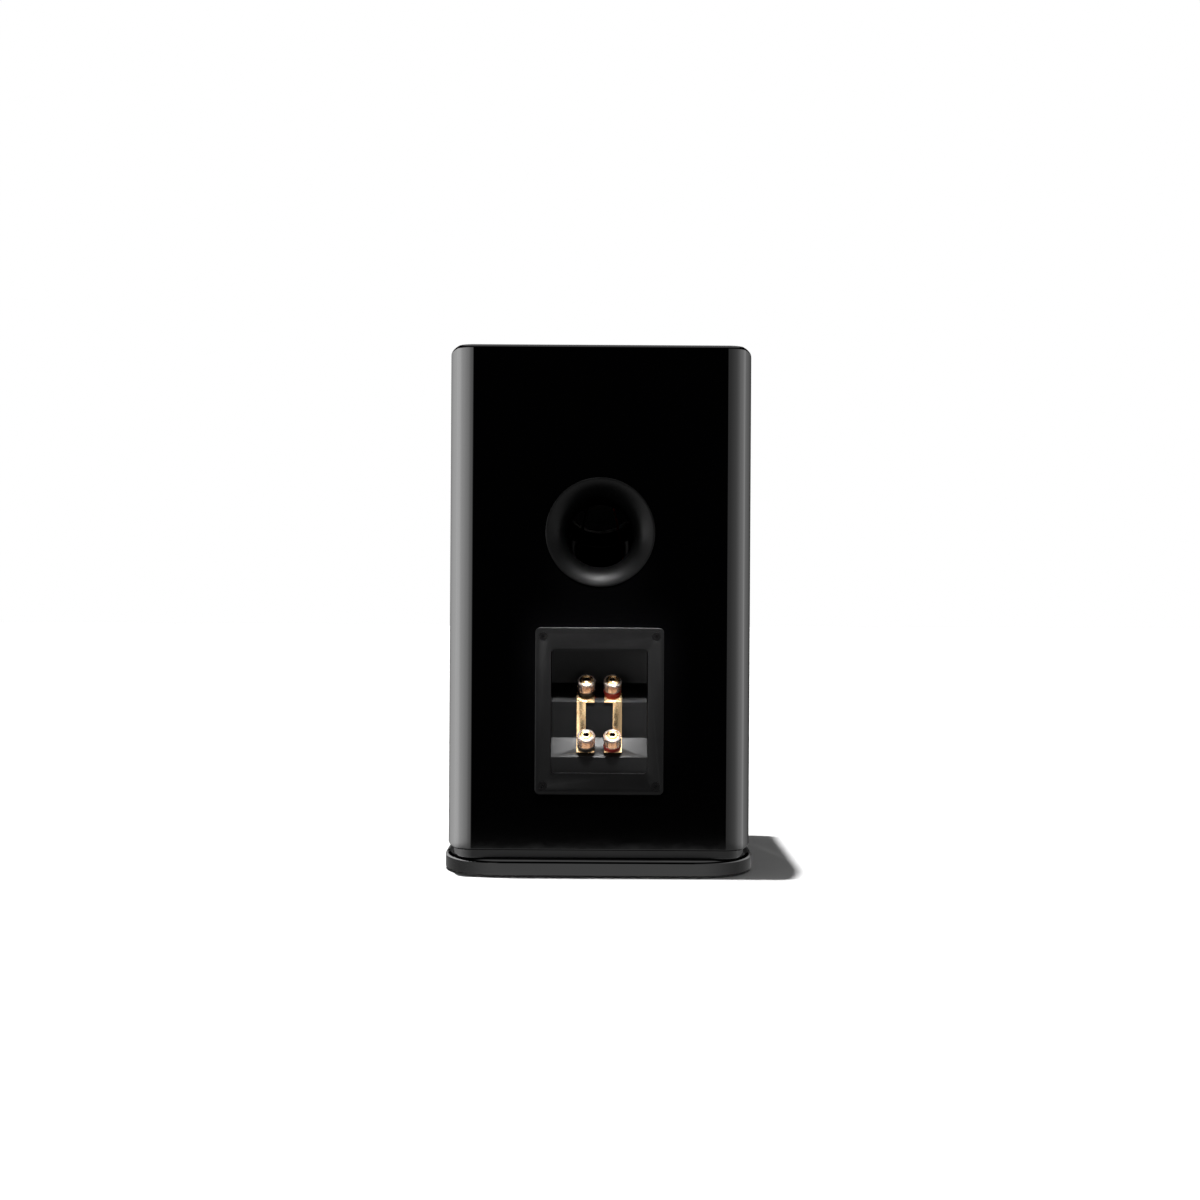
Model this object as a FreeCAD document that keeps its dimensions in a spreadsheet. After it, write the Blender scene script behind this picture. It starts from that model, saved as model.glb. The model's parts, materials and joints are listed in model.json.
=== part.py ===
import FreeCAD, Part
import math
import os
import re

import Sketcher

# A two-way bookshelf loudspeaker, in millimetres. X is its width, Y its depth with the
# listener at -Y, and Z is up. The origin is on the floor under the middle of the plinth.
# "Left" and "right" of the cabinet are as seen from the front. The posts are named red and
# black: seen from behind, red is on the right, which is -X.

Vector = FreeCAD.Vector
UPRIGHT = FreeCAD.Rotation()
FORWARD = FreeCAD.Rotation(Vector(1, 0, 0), 90)
REARWARD = FreeCAD.Rotation(Vector(1, 0, 0), -90)
POST_TILT = FreeCAD.Rotation(Vector(1, 0, 0), -45)
ACROSS = FreeCAD.Rotation(Vector(0, 1, 0), 90)

SIZES = {
    # cabinet
    "cabinet_wide": 224.7,
    "cabinet_deep": 282,
    "cabinet_tall": 364.5,
    "panel_thick": 18,
    "baffle_thick": 22,
    "rear_corner_radius": 13.35,
    "rear_corner_turn": 75,
    "side_sweep_radius": 230,
    "front_edge_radius": 8,
    "top_edge_radius": 2.5,
    "bottom_edge_radius": 1,
    "back_joint_inset": 12,
    # plinth and feet
    "foot_tall": 2,
    "foot_radius": 11,
    "foot_inset_side": 36,
    "foot_inset_end": 38,
    "plinth_thick": 11.5,
    "plinth_proud_side": 1.65,
    "plinth_proud_end": 4,
    "plinth_corner_radius": 38,
    "plinth_corner_turn": 60,
    "plinth_sweep_radius": 88,
    "plinth_front_radius": 14,
    "plinth_edge_radius": 3,
    "shadow_gap_tall": 6,
    "shadow_gap_inset": 4,
    "plinth_screw_inset": 58,
    # brace, pads
    "brace_thick": 12,
    "brace_deep": 60,
    "brace_front": 0,
    "brace_below_port": 21.8,
    "brace_hole_radius": 14,
    "pad_thick": 14,
    "pad_deep": 150,
    "pad_clearance": 8,
    # reflex port
    "port_drop": 135.2,
    "port_lip_radius": 39.5,
    "port_hole_radius": 37.6,
    "port_lip_wide": 1.4,
    "port_lip_proud": 0.8,
    "port_flange_thick": 2.2,
    "port_throat_radius": 25,
    "port_wall": 2.4,
    "port_roll_radius": 17,
    "port_spigot": 34,
    "port_socket": 12,
    "port_long": 138,
    "port_inner_lip_wide": 8,
    "port_inner_flare": 14,
    # terminal cup
    "cup_raise": 100.5,
    "cup_wide": 92.5,
    "cup_high": 120.4,
    "cup_flange": 2.4,
    "cup_corner_radius": 3.6,
    "cup_open_wide": 69.8,
    "cup_open_high": 89.8,
    "cup_wall": 2.5,
    "cup_gasket_thick": 0.8,
    "cup_edge_radius": 0.7,
    "low_step_depth": 7.5,
    "low_step_high": 11.3,
    "slope_run": 13.3,
    "middle_step_high": 26,
    "cup_screw_across": 40.6,
    "cup_screw_up": 53.8,
    # posts, four of them
    "post_spacing": 19,
    "stud_radius": 3,
    "stud_tip": 14.3,
    "stud_tail": 16,
    "stud_flange_radius": 5.2,
    "stud_flange_thick": 0.6,
    "socket_radius": 2,
    "socket_deep": 16,
    "nut_radius": 5.7,
    "nut_thick": 3,
    "ring_radius": 6.5,
    "ring_thick": 2.5,
    "knob_radius": 6.5,
    "knob_long": 8.8,
    "core_radius": 5,
    "core_rim": 0.9,
    "collar_radius": 3.5,
    "collar_long": 1.4,
    "sleeve_flutes": 12,
    "flute_radius": 0.8,
    "clamp_gap": 0.05,
    # jumpers
    "jumper_thick": 1,
    "jumper_inner": 3.5,
    "jumper_outer": 16.5,
    "jumper_bridge": 9.9,
    "jumper_ear": 15.5,
    "jumper_slot_radius": 3.3,
    # woofer
    "woofer_raise": 108.5,
    "woofer_radius": 85,
    "woofer_flange": 4.5,
    "woofer_proud": 0.5,
    "woofer_hole_radius": 74.5,
    "woofer_screw_circle": 80.5,
    "woofer_ledge_radius": 76,
    "woofer_window_radius": 69,
    "basket_depth": 50,
    "basket_wall": 2.5,
    "basket_cup_radius": 43,
    "basket_window_high": 28,
    "basket_window_drop": 39,
    "spider_shelf_radius": 53.8,
    "spider_depth": 42,
    "spider_thick": 0.8,
    "woofer_plate_thick": 6,
    "woofer_magnet_thick": 18,
    "woofer_back_thick": 6,
    "woofer_vent_radius": 6,
    "cone_radius": 60,
    "cone_thick": 1.2,
    "cone_depth": 26,
    "cone_lip_depth": 7,
    "cone_curve_radius": 93,
    "dust_cap_radius": 25,
    "dust_cap_high": 8,
    "dust_cap_rise": 4.05,
    "dust_cap_thick": 0.6,
    "former_radius": 19.2,
    "former_thick": 0.5,
    "winding_thick": 0.5,
    "pole_radius": 18.6,
    "woofer_gap": 2.1,
    "woofer_plate_radius": 48,
    "woofer_magnet_radius": 50,
    "woofer_magnet_bore": 30,
    "roll_radius": 5.6,
    "roll_thick": 0.8,
    "roll_inset": 10.1,
    "roll_depth": 5,
    "surround_foot": 4,
    "winding_long": 16,
    "window_wide": 33,
    "tag_strip_long": 26,
    "tag_strip_wide": 5.4,
    "tag_strip_thick": 3,
    "tag_radius": 1.5,
    "tag_long": 7,
    "tag_spacing": 16,
    # tweeter
    "tweeter_raise": 270.5,
    "tweeter_radius": 58,
    "tweeter_flange": 4.5,
    "tweeter_proud": 0.5,
    "tweeter_hole_radius": 46,
    "tweeter_screw_circle": 51.5,
    "tweeter_mouth_radius": 44,
    "dome_radius": 12.5,
    "dome_high": 4,
    "dome_seat_radius": 14.2,
    "dome_depth": 8.8,
    "dome_thick": 0.3,
    "dome_rim_thick": 0.5,
    "tweeter_pole_radius": 12.1,
    "tweeter_gap": 1.3,
    "tweeter_magnet_radius": 36,
    "tweeter_magnet_thick": 10,
    "tweeter_plate_thick": 4,
    "chamber_radius": 32,
    "chamber_long": 21,
    # crossover
    "board_wide": 150,
    "board_deep": 115,
    "board_thick": 1.6,
    "board_front": -40,
    "board_stand": 8,
    "block_deep": 10,
    "block_high": 10,
    "lead_radius": 1,
    # fits
    "loose": 0.3,
    "snug": 0.05,
}

doc = FreeCAD.newDocument("BookshelfSpeaker")
sheet = doc.addObject("Spreadsheet::Sheet", "Sizes")
for row, (alias, value) in enumerate(SIZES.items(), start=1):
    sheet.set(f"A{row}", alias.replace("_", " "))
    sheet.set(f"B{row}", str(value))
    sheet.setAlias(f"B{row}", alias)
doc.recompute()

nodes = {}


# --- helpers: every size goes through the sheet -------------------------------------------

def in_sheet(text):
    """An expression with the sheet's name put before every alias in it."""
    return re.sub("[a-z_]+", lambda word: ("Sizes." if word[0] in SIZES else "") + word[0], str(text))


def number(text):
    """What an expression comes to now."""
    return float(sheet.evalExpression(in_sheet(text)))


def bind(thing, **rules):
    for name, text in rules.items():
        thing.setExpression(name, in_sheet(text))
    return thing


def seat(thing, at=("0", "0", "0"), turn=UPRIGHT):
    """Turn a thing and bind its place to the sheet."""
    thing.Placement = FreeCAD.Placement(Vector(), turn)
    for axis, text in zip("xyz", at):
        thing.setExpression("Placement.Base." + axis, in_sheet(text))
    return thing


def keep(name, thing):
    """Make a thing one of the finished sub-parts."""
    thing.Label = name
    nodes[name] = thing
    return thing


def box(name, sides, at, turn=UPRIGHT):
    block = doc.addObject("Part::Box", name)
    bind(block, Length=sides[0], Width=sides[1], Height=sides[2])
    return seat(block, at, turn)


def rod(name, radius, long, at, turn=UPRIGHT):
    cylinder = doc.addObject("Part::Cylinder", name)
    bind(cylinder, Radius=radius, Height=long)
    return seat(cylinder, at, turn)


def fuse(name, things):
    if len(things) == 1:
        return things[0]
    joined = doc.addObject("Part::MultiFuse", name)
    joined.Shapes = things
    return joined


def cut(name, blank, tools):
    result = doc.addObject("Part::Cut", name)
    result.Base = blank
    result.Tool = fuse(name + "_tools", tools)
    return result


def common(name, first, second):
    result = doc.addObject("Part::Common", name)
    result.Base = first
    result.Tool = second
    return result


def bundle(name, things):
    """Separate solids that share one node."""
    compound = doc.addObject("Part::Compound", name)
    compound.Links = things
    return compound


def copies(name, pattern, places, turn=UPRIGHT):
    """The same piece at several places, as one node of separate solids."""
    links = []
    for index, at in enumerate(places, start=1):
        link = doc.addObject("App::Link", f"{name}_{index}")
        link.LinkedObject = pattern
        links.append(seat(link, at, turn))
    return bundle(name, links)


def tie(sketch, kind, where, text):
    """One sketch dimension that follows the sheet."""
    index = sketch.addConstraint(Sketcher.Constraint(kind, *where, number(text)))
    sketch.setExpression(f"Constraints[{index}]", in_sheet(text))


def draw(sketch, corners):
    """A closed outline. A corner is (across, up), or (across, up, radius, side) where an arc
    arrives at it: side is 1 for an anticlockwise arc and -1 for a clockwise one."""
    points = [Vector(number(corner[0]), number(corner[1]), 0) for corner in corners]
    edges = []
    for index, corner in enumerate(corners):
        start = points[index - 1]
        end = points[index]
        if len(corner) == 2:
            edges.append((sketch.addGeometry(Part.LineSegment(start, end), False), 1, 2))
            continue
        radius = number(corner[2])
        chord = end - start
        across = Vector(-chord.y, chord.x, 0).normalize() * corner[3]
        rise = math.sqrt(max(radius ** 2 - (chord.Length / 2) ** 2, 0))
        centre = (start + end) / 2 + across * rise
        first, last = (start, end) if corner[3] > 0 else (end, start)
        from_angle = math.atan2(first.y - centre.y, first.x - centre.x)
        to_angle = math.atan2(last.y - centre.y, last.x - centre.x)
        arc = Part.ArcOfCircle(Part.Circle(centre, Vector(0, 0, 1), radius), from_angle, to_angle)
        edge = sketch.addGeometry(arc, False)
        edges.append((edge, 1, 2) if corner[3] > 0 else (edge, 2, 1))
    for index, corner in enumerate(corners):
        edge, _, last = edges[index]
        following, first, _ = edges[(index + 1) % len(corners)]
        sketch.addConstraint(Sketcher.Constraint("Coincident", edge, last, following, first))
        tie(sketch, "DistanceX", (-1, 1, edge, last), corner[0])
        tie(sketch, "DistanceY", (-1, 1, edge, last), corner[1])
    for (edge, _, _), corner in zip(edges, corners):
        if len(corner) > 2:
            tie(sketch, "Radius", (edge,), corner[2])


def sketched(name, role, corners):
    """A body with one closed sketch on one of its own planes."""
    body = doc.addObject("PartDesign::Body", name)
    sketch = body.newObject("Sketcher::SketchObject", name + "_outline")
    plane = next(item for item in body.Origin.OriginFeatures if item.Role == role)
    sketch.AttachmentSupport = (plane, [""])
    sketch.MapMode = "FlatFace"
    draw(sketch, corners)
    return body, sketch


def slab(name, role, corners, thick, at=("0", "0", "0"), turn=UPRIGHT):
    """An outline padded to a thickness, along +Z from XY_Plane or +X from YZ_Plane."""
    body, sketch = sketched(name, role, corners)
    pad = body.newObject("PartDesign::Pad", name + "_pad")
    pad.Profile = sketch
    bind(pad, Length=thick)
    body.Tip = pad
    return seat(body, at, turn)


def turned(name, corners, at=("0", "0", "0"), turn=UPRIGHT):
    """A profile of (radius, height) corners turned about the body's own Z."""
    body, sketch = sketched(name, "XZ_Plane", corners)
    revolution = body.newObject("PartDesign::Revolution", name + "_turn")
    revolution.Profile = sketch
    revolution.ReferenceAxis = (sketch, ["V_Axis"])
    revolution.Angle = 360
    body.Tip = revolution
    return seat(body, at, turn)


def round_edges(body, radius, chosen):
    """Fillet the edges of a body's tip that a test picks."""
    doc.recompute()
    base = body.Tip
    names = [f"Edge{i}" for i, edge in enumerate(base.Shape.Edges, start=1) if chosen(edge)]
    fillet = body.newObject("PartDesign::Fillet", f"{body.Name}_fillet")
    fillet.Base = (base, names)
    bind(fillet, Radius=radius)
    body.Tip = fillet
    return body


def level(height):
    """A test for edges that lie flat at a height in the body's own frame."""
    return lambda edge: max(abs(vertex.Z - height) for vertex in edge.Vertexes) < 1e-6


def ball(radius, high):
    """The radius of the sphere whose cap has this radius at its rim and this height."""
    return f"((({radius}) ^ 2 + ({high}) ^ 2) / (2 * ({high})))"


def plan(half, back, front, corner, turn, sweep, front_corner):
    """The cabinet's outline from above: a flat back, two arcs on each rear corner that meet
    the side smoothly, straight sides, and a small round on each front edge."""
    flat = f"({half} - {corner} * sin({turn}) - {sweep} * (1 - sin({turn})))"
    bend = f"({flat} + {corner} * sin({turn}))"
    bend_back = f"({back} - {corner} * (1 - cos({turn})))"
    straight = f"({bend_back} - {sweep} * cos({turn}))"
    return [
        (half, f"{front} + {front_corner}", front_corner, 1),
        (half, straight),
        (bend, bend_back, sweep, 1),
        (flat, back, corner, 1),
        (f"-{flat}", back),
        (f"-{bend}", bend_back, corner, 1),
        (f"-({half})", straight, sweep, 1),
        (f"-({half})", f"{front} + {front_corner}"),
        (f"-({half}) + {front_corner}", front, front_corner, 1),
        (f"{half} - {front_corner}", front),
    ]


def rounded(half_wide, half_high, radius):
    """A rectangle about the origin with four round corners."""
    return [
        (half_wide, f"-({half_high}) + {radius}", radius, 1),
        (half_wide, f"{half_high} - {radius}"),
        (f"{half_wide} - {radius}", half_high, radius, 1),
        (f"-({half_wide}) + {radius}", half_high),
        (f"-({half_wide})", f"{half_high} - {radius}", radius, 1),
        (f"-({half_wide})", f"-({half_high}) + {radius}"),
        (f"-({half_wide}) + {radius}", f"-({half_high})", radius, 1),
        (f"{half_wide} - {radius}", f"-({half_high})"),
    ]


# --- places that several pieces share -----------------------------------------------------

HALF = "cabinet_wide / 2"
BACK = "cabinet_deep / 2"
FRONT = "-cabinet_deep / 2"
FLOOR = "(foot_tall + plinth_thick + shadow_gap_tall)"
TOP = f"({FLOOR} + cabinet_tall)"
INNER_TALL = "(cabinet_tall - 2 * panel_thick)"
SHELF = f"({FLOOR} + panel_thick)"
TURN = "rear_corner_turn"
FLAT = f"({HALF} - rear_corner_radius * sin({TURN}) - side_sweep_radius * (1 - sin({TURN})))"
BEND_BACK = f"({BACK} - rear_corner_radius * (1 - cos({TURN})))"
STRAIGHT = f"({BEND_BACK} - side_sweep_radius * cos({TURN}))"
BACK_JOINT = f"({FLAT} - back_joint_inset)"

WOOFER = ("0", FRONT, f"{FLOOR} + woofer_raise")
TWEETER = ("0", FRONT, f"{FLOOR} + tweeter_raise")
PORT_Z = f"({TOP} - port_drop)"
CUP_Z = f"({FLOOR} + cup_raise)"
CUP_FACE = f"({BACK} + cup_gasket_thick + cup_flange)"

# The tags hang from the woofer frame's inner cup
TAG_Y = f"({FRONT} + basket_depth - tag_strip_wide / 2)"
TAG_Z = f"({WOOFER[2]} - basket_cup_radius - basket_wall)"

# Heights and depths of the terraces in the cup, seen from its flange
LOW_Z = f"({CUP_Z} - cup_open_high / 2)"
STEP_Z = f"({LOW_Z} + low_step_high)"
MIDDLE_Z = f"({STEP_Z} + slope_run)"
UPPER_Z = f"({MIDDLE_Z} + middle_step_high)"
DEEP_Z = f"({UPPER_Z} + slope_run)"
HIGH_Z = f"({LOW_Z} + cup_open_high)"
MIDDLE_DEPTH = "(low_step_depth + slope_run)"
DEEP_DEPTH = "(low_step_depth + 2 * slope_run)"

# Each post stands at the middle of a slope
LOWER_POST_Y = f"({CUP_FACE} - low_step_depth - slope_run / 2)"
LOWER_POST_Z = f"({STEP_Z} + slope_run / 2)"
UPPER_POST_Y = f"({CUP_FACE} - {MIDDLE_DEPTH} - slope_run / 2)"
UPPER_POST_Z = f"({UPPER_Z} + slope_run / 2)"
POSTS = {
    "lower_red": ("-post_spacing / 2", LOWER_POST_Y, LOWER_POST_Z),
    "lower_black": ("post_spacing / 2", LOWER_POST_Y, LOWER_POST_Z),
    "upper_red": ("-post_spacing / 2", UPPER_POST_Y, UPPER_POST_Z),
    "upper_black": ("post_spacing / 2", UPPER_POST_Y, UPPER_POST_Z),
}


def along_post(at, distance):
    """A place further out along a post's axis, which leans back at 45 degrees."""
    return (at[0], f"{at[1]} + ({distance}) * sin(45)", f"{at[2]} + ({distance}) * sin(45)")


def around(circle, count, first_turn, height):
    """Places on a circle in the plane of a driver, at a height in front of its centre."""
    places = []
    for index in range(count):
        angle = first_turn + 360 * index / count
        places.append((f"{circle} * cos({angle})", f"{circle} * sin({angle})", height))
    return places


def on_baffle(driver, places):
    """Driver-plane places moved to the front of the cabinet."""
    return [(x, f"{driver[1]} - ({out})", f"{driver[2]} + {up}") for x, up, out in places]


def screw(name, head_radius, head_tall, shank_radius, long):
    """A countersunk wood screw, its head's face at Z = 0 and its point below, with a cross recess."""
    blank = turned(name + "_blank", [
        ("0", "0"),
        ("0", f"-{long}"),
        (f"{shank_radius}", f"-{long} + {shank_radius} * 2"),
        (f"{shank_radius}", f"-{head_tall}"),
        (f"{head_radius}", f"-{head_tall} / 4"),
        (f"{head_radius}", "0"),
    ])
    slot_long = f"{head_radius} * 1.2"
    slot_wide = f"{head_radius} * 0.28"
    deep = f"{head_tall} / 2"
    recess = [
        box(name + "_slot", (slot_long, slot_wide, deep),
            (f"-({slot_long}) / 2", f"-({slot_wide}) / 2", f"-({deep})")),
        box(name + "_cross_slot", (slot_wide, slot_long, deep),
            (f"-({slot_wide}) / 2", f"-({slot_long}) / 2", f"-({deep})")),
    ]
    return cut(name, blank, recess)


def countersink(name, places, turn, head_radius, head_tall, shank_radius, long):
    """The space that a group of screws needs in what they hold."""
    pattern = turned(name + "_space", [
        ("0", "snug"),
        ("0", f"-{long}"),
        (f"{shank_radius} + snug", f"-{long}"),
        (f"{shank_radius} + snug", f"-{head_tall}"),
        (f"{head_radius} + snug", f"-{head_tall} / 4"),
        (f"{head_radius} + snug", "snug"),
    ])
    return copies(name, pattern, places, turn)


WOOFER_SCREW = ("3.8", "3.2", "2", "24")
TWEETER_SCREW = ("3.4", "2.8", "1.7", "20")
CUP_SCREW = ("3.2", "2.2", "1.5", "16")
PLINTH_SCREW = ("4.2", "3.6", "2.2", "28")

WOOFER_SCREWS = on_baffle(WOOFER, around("woofer_screw_circle", 6, 30, "woofer_proud"))
TWEETER_SCREWS = on_baffle(TWEETER, around("tweeter_screw_circle", 4, 45, "tweeter_proud"))
CUP_SCREWS = [
    (f"{across} * cup_screw_across", CUP_FACE, f"{CUP_Z} + {up} * cup_screw_up")
    for across in (-1, 1) for up in (-1, 1)
]
PLINTH_SCREWS = [
    (f"{side} * ({HALF} - plinth_screw_inset)", f"{end} * ({BACK} - plinth_screw_inset)", "foot_tall")
    for side in (-1, 1) for end in (-1, 1)
]
FACE_DOWN = FreeCAD.Rotation(Vector(1, 0, 0), 180)


# --- cabinet ------------------------------------------------------------------------------

def cabinet_plan():
    return plan(HALF, BACK, FRONT, "rear_corner_radius", TURN, "side_sweep_radius", "front_edge_radius")


def end_panels():
    """The lid, with its edge rounded over, and the bottom board that the plinth is screwed to."""
    lid = slab("lid", "XY_Plane", cabinet_plan(), "panel_thick", ("0", "0", f"{TOP} - panel_thick"))
    keep("top_panel", round_edges(lid, "top_edge_radius", level(number("panel_thick"))))
    board = slab("bottom_blank", "XY_Plane", cabinet_plan(), "panel_thick", ("0", "0", FLOOR))
    round_edges(board, "bottom_edge_radius", level(0))
    holes = countersink("plinth_screw_holes", PLINTH_SCREWS, FACE_DOWN, *PLINTH_SCREW)
    keep("bottom_panel", cut("bottom_panel", board, [holes]))


def side_panels():
    """A straight side that sweeps in towards the back and turns the rear corner."""
    inner_half = f"({HALF} - panel_thick)"
    inner_back = f"({BACK} - panel_thick)"
    inner_sweep = "(side_sweep_radius - panel_thick)"
    reach = f"sqrt({inner_sweep} ^ 2 - ({inner_back} - {STRAIGHT}) ^ 2)"
    inner_turn = f"({HALF} - side_sweep_radius + {reach})"
    front = f"({FRONT} + baffle_thick)"
    outline = [
        (HALF, front),
        (HALF, STRAIGHT),
        (f"{FLAT} + rear_corner_radius * sin({TURN})", BEND_BACK, "side_sweep_radius", 1),
        (FLAT, BACK, "rear_corner_radius", 1),
        (BACK_JOINT, BACK),
        (BACK_JOINT, inner_back),
        (inner_turn, inner_back),
        (inner_half, STRAIGHT, inner_sweep, -1),
        (inner_half, front),
    ]
    right = slab("right_side", "XY_Plane", outline, INNER_TALL, ("0", "0", SHELF))
    keep("right_side_panel", right)
    left = doc.addObject("Part::Mirroring", "left_side")
    left.Source = right
    left.Normal = Vector(1, 0, 0)
    keep("left_side_panel", left)


def back_panel():
    """The flat back between the side panels, cut for the port and the terminal cup."""
    blank = box("back_blank", (f"2 * {BACK_JOINT}", "panel_thick", INNER_TALL),
                (f"-{BACK_JOINT}", f"{BACK} - panel_thick", SHELF))
    port = ("0", f"{BACK} - panel_thick - 1", PORT_Z)
    opening_wide = "(cup_open_wide + 2 * cup_wall + 2 * loose)"
    opening_high = "(cup_open_high + 2 * cup_wall + 2 * loose)"
    tools = [
        rod("port_hole", "port_hole_radius", "panel_thick + 2", port, REARWARD),
        rod("port_rebate", "port_lip_radius + snug", "port_flange_thick + 1",
            ("0", f"{BACK} - port_flange_thick", PORT_Z), REARWARD),
        box("cup_hole", (opening_wide, "panel_thick + 2", opening_high),
            (f"-{opening_wide} / 2", f"{BACK} - panel_thick - 1", f"{CUP_Z} - {opening_high} / 2")),
        countersink("cup_screw_holes", CUP_SCREWS, REARWARD, *CUP_SCREW),
    ]
    keep("back_panel", cut("back_panel", blank, tools))


def front_baffle():
    """The board that carries both drivers, rebated so that their frames lie flush."""
    front = FRONT
    corner = "front_edge_radius"
    outline = [
        (f"{HALF}", f"{front} + {corner}", corner, 1),
        (f"{HALF}", f"{front} + baffle_thick"),
        (f"-({HALF})", f"{front} + baffle_thick"),
        (f"-({HALF})", f"{front} + {corner}"),
        (f"-({HALF}) + {corner}", front, corner, 1),
        (f"{HALF} - {corner}", front),
    ]
    blank = slab("baffle_blank", "XY_Plane", outline, INNER_TALL, ("0", "0", SHELF))
    tools = []
    drivers = (
        ("woofer", WOOFER, "woofer_radius", "woofer_flange - woofer_proud", "woofer_hole_radius"),
        ("tweeter", TWEETER, "tweeter_radius", "tweeter_flange - tweeter_proud", "tweeter_hole_radius"),
    )
    for driver, (x, y, z), radius, deep, hole in drivers:
        tools.append(rod(driver + "_rebate", f"{radius} + snug", f"({deep}) + 1",
                         (x, f"{y} + ({deep})", z), FORWARD))
        tools.append(rod(driver + "_hole", hole, "baffle_thick + 2",
                         (x, f"{y} + baffle_thick + 1", z), FORWARD))
    tools.append(countersink("woofer_screw_holes", WOOFER_SCREWS, FORWARD, *WOOFER_SCREW))
    tools.append(countersink("tweeter_screw_holes", TWEETER_SCREWS, FORWARD, *TWEETER_SCREW))
    keep("front_baffle", cut("front_baffle", blank, tools))


def brace_and_pads():
    """A board across the middle that ties the sides together, and wadding on the walls."""
    inner_half = f"({HALF} - panel_thick)"
    low = f"({PORT_Z} - port_throat_radius - brace_below_port)"
    board = box("brace_blank", (f"2 * {inner_half}", "brace_deep", "brace_thick"),
                (f"-{inner_half}", "brace_front", low))
    holes = [
        rod(f"brace_hole_{index}", "brace_hole_radius", "brace_thick + 2",
            (f"{side} * {inner_half} / 2", "brace_front + brace_deep / 2", f"{low} - 1"))
        for index, side in enumerate((-1, 1))
    ]
    keep("cross_brace", cut("cross_brace", board, holes))
    front = f"({STRAIGHT} - pad_deep)"
    pads = []
    lower_high = f"({low} - {SHELF} - 3 * pad_clearance - board_stand)"
    upper_high = f"({TOP} - panel_thick - {low} - brace_thick - 2 * pad_clearance)"
    for side, x in (("left", f"-{inner_half}"), ("right", f"{inner_half} - pad_thick")):
        pads.append(box(f"lower_pad_{side}", ("pad_thick", "pad_deep", lower_high),
                        (x, front, f"{low} - pad_clearance - {lower_high}")))
        pads.append(box(f"upper_pad_{side}", ("pad_thick", "pad_deep", upper_high),
                        (x, front, f"{low} + brace_thick + pad_clearance")))
    keep("damping_pads", bundle("damping_pads", pads))


def plinth_and_feet():
    """A wider slab with rounded corners, a set-back step that makes the shadow gap, and feet."""
    half = f"({HALF} + plinth_proud_side)"
    end = f"({BACK} + plinth_proud_end)"
    outline = plan(half, end, f"-{end}", "plinth_corner_radius", "plinth_corner_turn",
                   "plinth_sweep_radius", "plinth_front_radius")
    board = slab("plinth_board", "XY_Plane", outline, "plinth_thick", ("0", "0", "foot_tall"))
    round_edges(board, "plinth_edge_radius", level(number("plinth_thick")))
    inset = "shadow_gap_inset"
    step_outline = plan(f"({HALF} - {inset})", f"({BACK} - {inset})", f"({FRONT} + {inset})",
                        f"(rear_corner_radius - {inset})", TURN, f"(side_sweep_radius - {inset})",
                        f"(front_edge_radius - {inset})")
    step = slab("plinth_step", "XY_Plane", step_outline, "shadow_gap_tall",
                ("0", "0", "foot_tall + plinth_thick"))
    both = fuse("plinth_blank", [board, step])
    holes = countersink("plinth_holes", PLINTH_SCREWS, FACE_DOWN, *PLINTH_SCREW)
    keep("plinth", cut("plinth", both, [holes]))
    plinth_screw = screw("plinth_screw", *PLINTH_SCREW)
    keep("plinth_screws", copies("plinth_screws", plinth_screw, PLINTH_SCREWS, FACE_DOWN))
    foot = turned("foot", [
        ("0", "foot_tall"),
        ("0", "0"),
        ("foot_radius - 1", "0"),
        ("foot_radius", "1", "1", 1),
        ("foot_radius", "foot_tall"),
    ])
    places = [
        (f"{side} * ({half} - foot_inset_side)", f"{along} * ({end} - foot_inset_end)", "0")
        for side in (-1, 1) for along in (-1, 1)
    ]
    keep("rubber_feet", copies("rubber_feet", foot, places))


# --- reflex port --------------------------------------------------------------------------

def port():
    """A flared mouth let into the back, with a spigot that a plain tube is pushed over."""
    lip_inner = "(port_lip_radius - port_lip_wide)"
    roll = "port_roll_radius"
    throat = "port_throat_radius"
    roll_z = f"(port_lip_proud - 0.3 - sqrt({roll} ^ 2 - ({throat} + {roll} - {lip_inner}) ^ 2))"
    outer = f"({throat} + port_wall)"
    flare = turned("flare", [
        ("port_lip_radius", "-port_flange_thick"),
        ("port_lip_radius", "port_lip_proud - 0.5"),
        ("port_lip_radius - 0.5", "port_lip_proud", "0.5", 1),
        (lip_inner, "port_lip_proud"),
        (lip_inner, "port_lip_proud - 0.3"),
        (throat, roll_z, roll, 1),
        (throat, "-port_spigot"),
        (outer, "-port_spigot"),
        (outer, f"{roll_z} - port_wall"),
        ("port_hole_radius - loose", "-port_flange_thick", f"{roll} * 1.2", -1),
    ], ("0", BACK, PORT_Z), REARWARD)
    keep("port_flare", flare)
    socket = f"({outer} + snug)"
    start = "-(port_spigot - port_socket)"
    end = "-port_long"
    inner_lip = f"({throat} + port_inner_lip_wide)"
    tube = turned("tube", [
        (f"{socket} + port_wall", start),
        (socket, start),
        (socket, "-port_spigot - snug"),
        (throat, "-port_spigot - snug"),
        (throat, f"{end} + port_inner_flare"),
        (inner_lip, end, "port_inner_flare * 1.15", 1),
        (f"{inner_lip} + 1.4", f"{end} + 1.4"),
        (outer, f"{end} + port_inner_flare + port_wall", "port_inner_flare * 1.2", -1),
        (outer, "-port_spigot - port_wall - 2"),
        (f"{socket} + port_wall", "-port_spigot - 2"),
    ], ("0", BACK, PORT_Z), REARWARD)
    keep("port_tube", tube)


# --- terminal cup -------------------------------------------------------------------------

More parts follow.
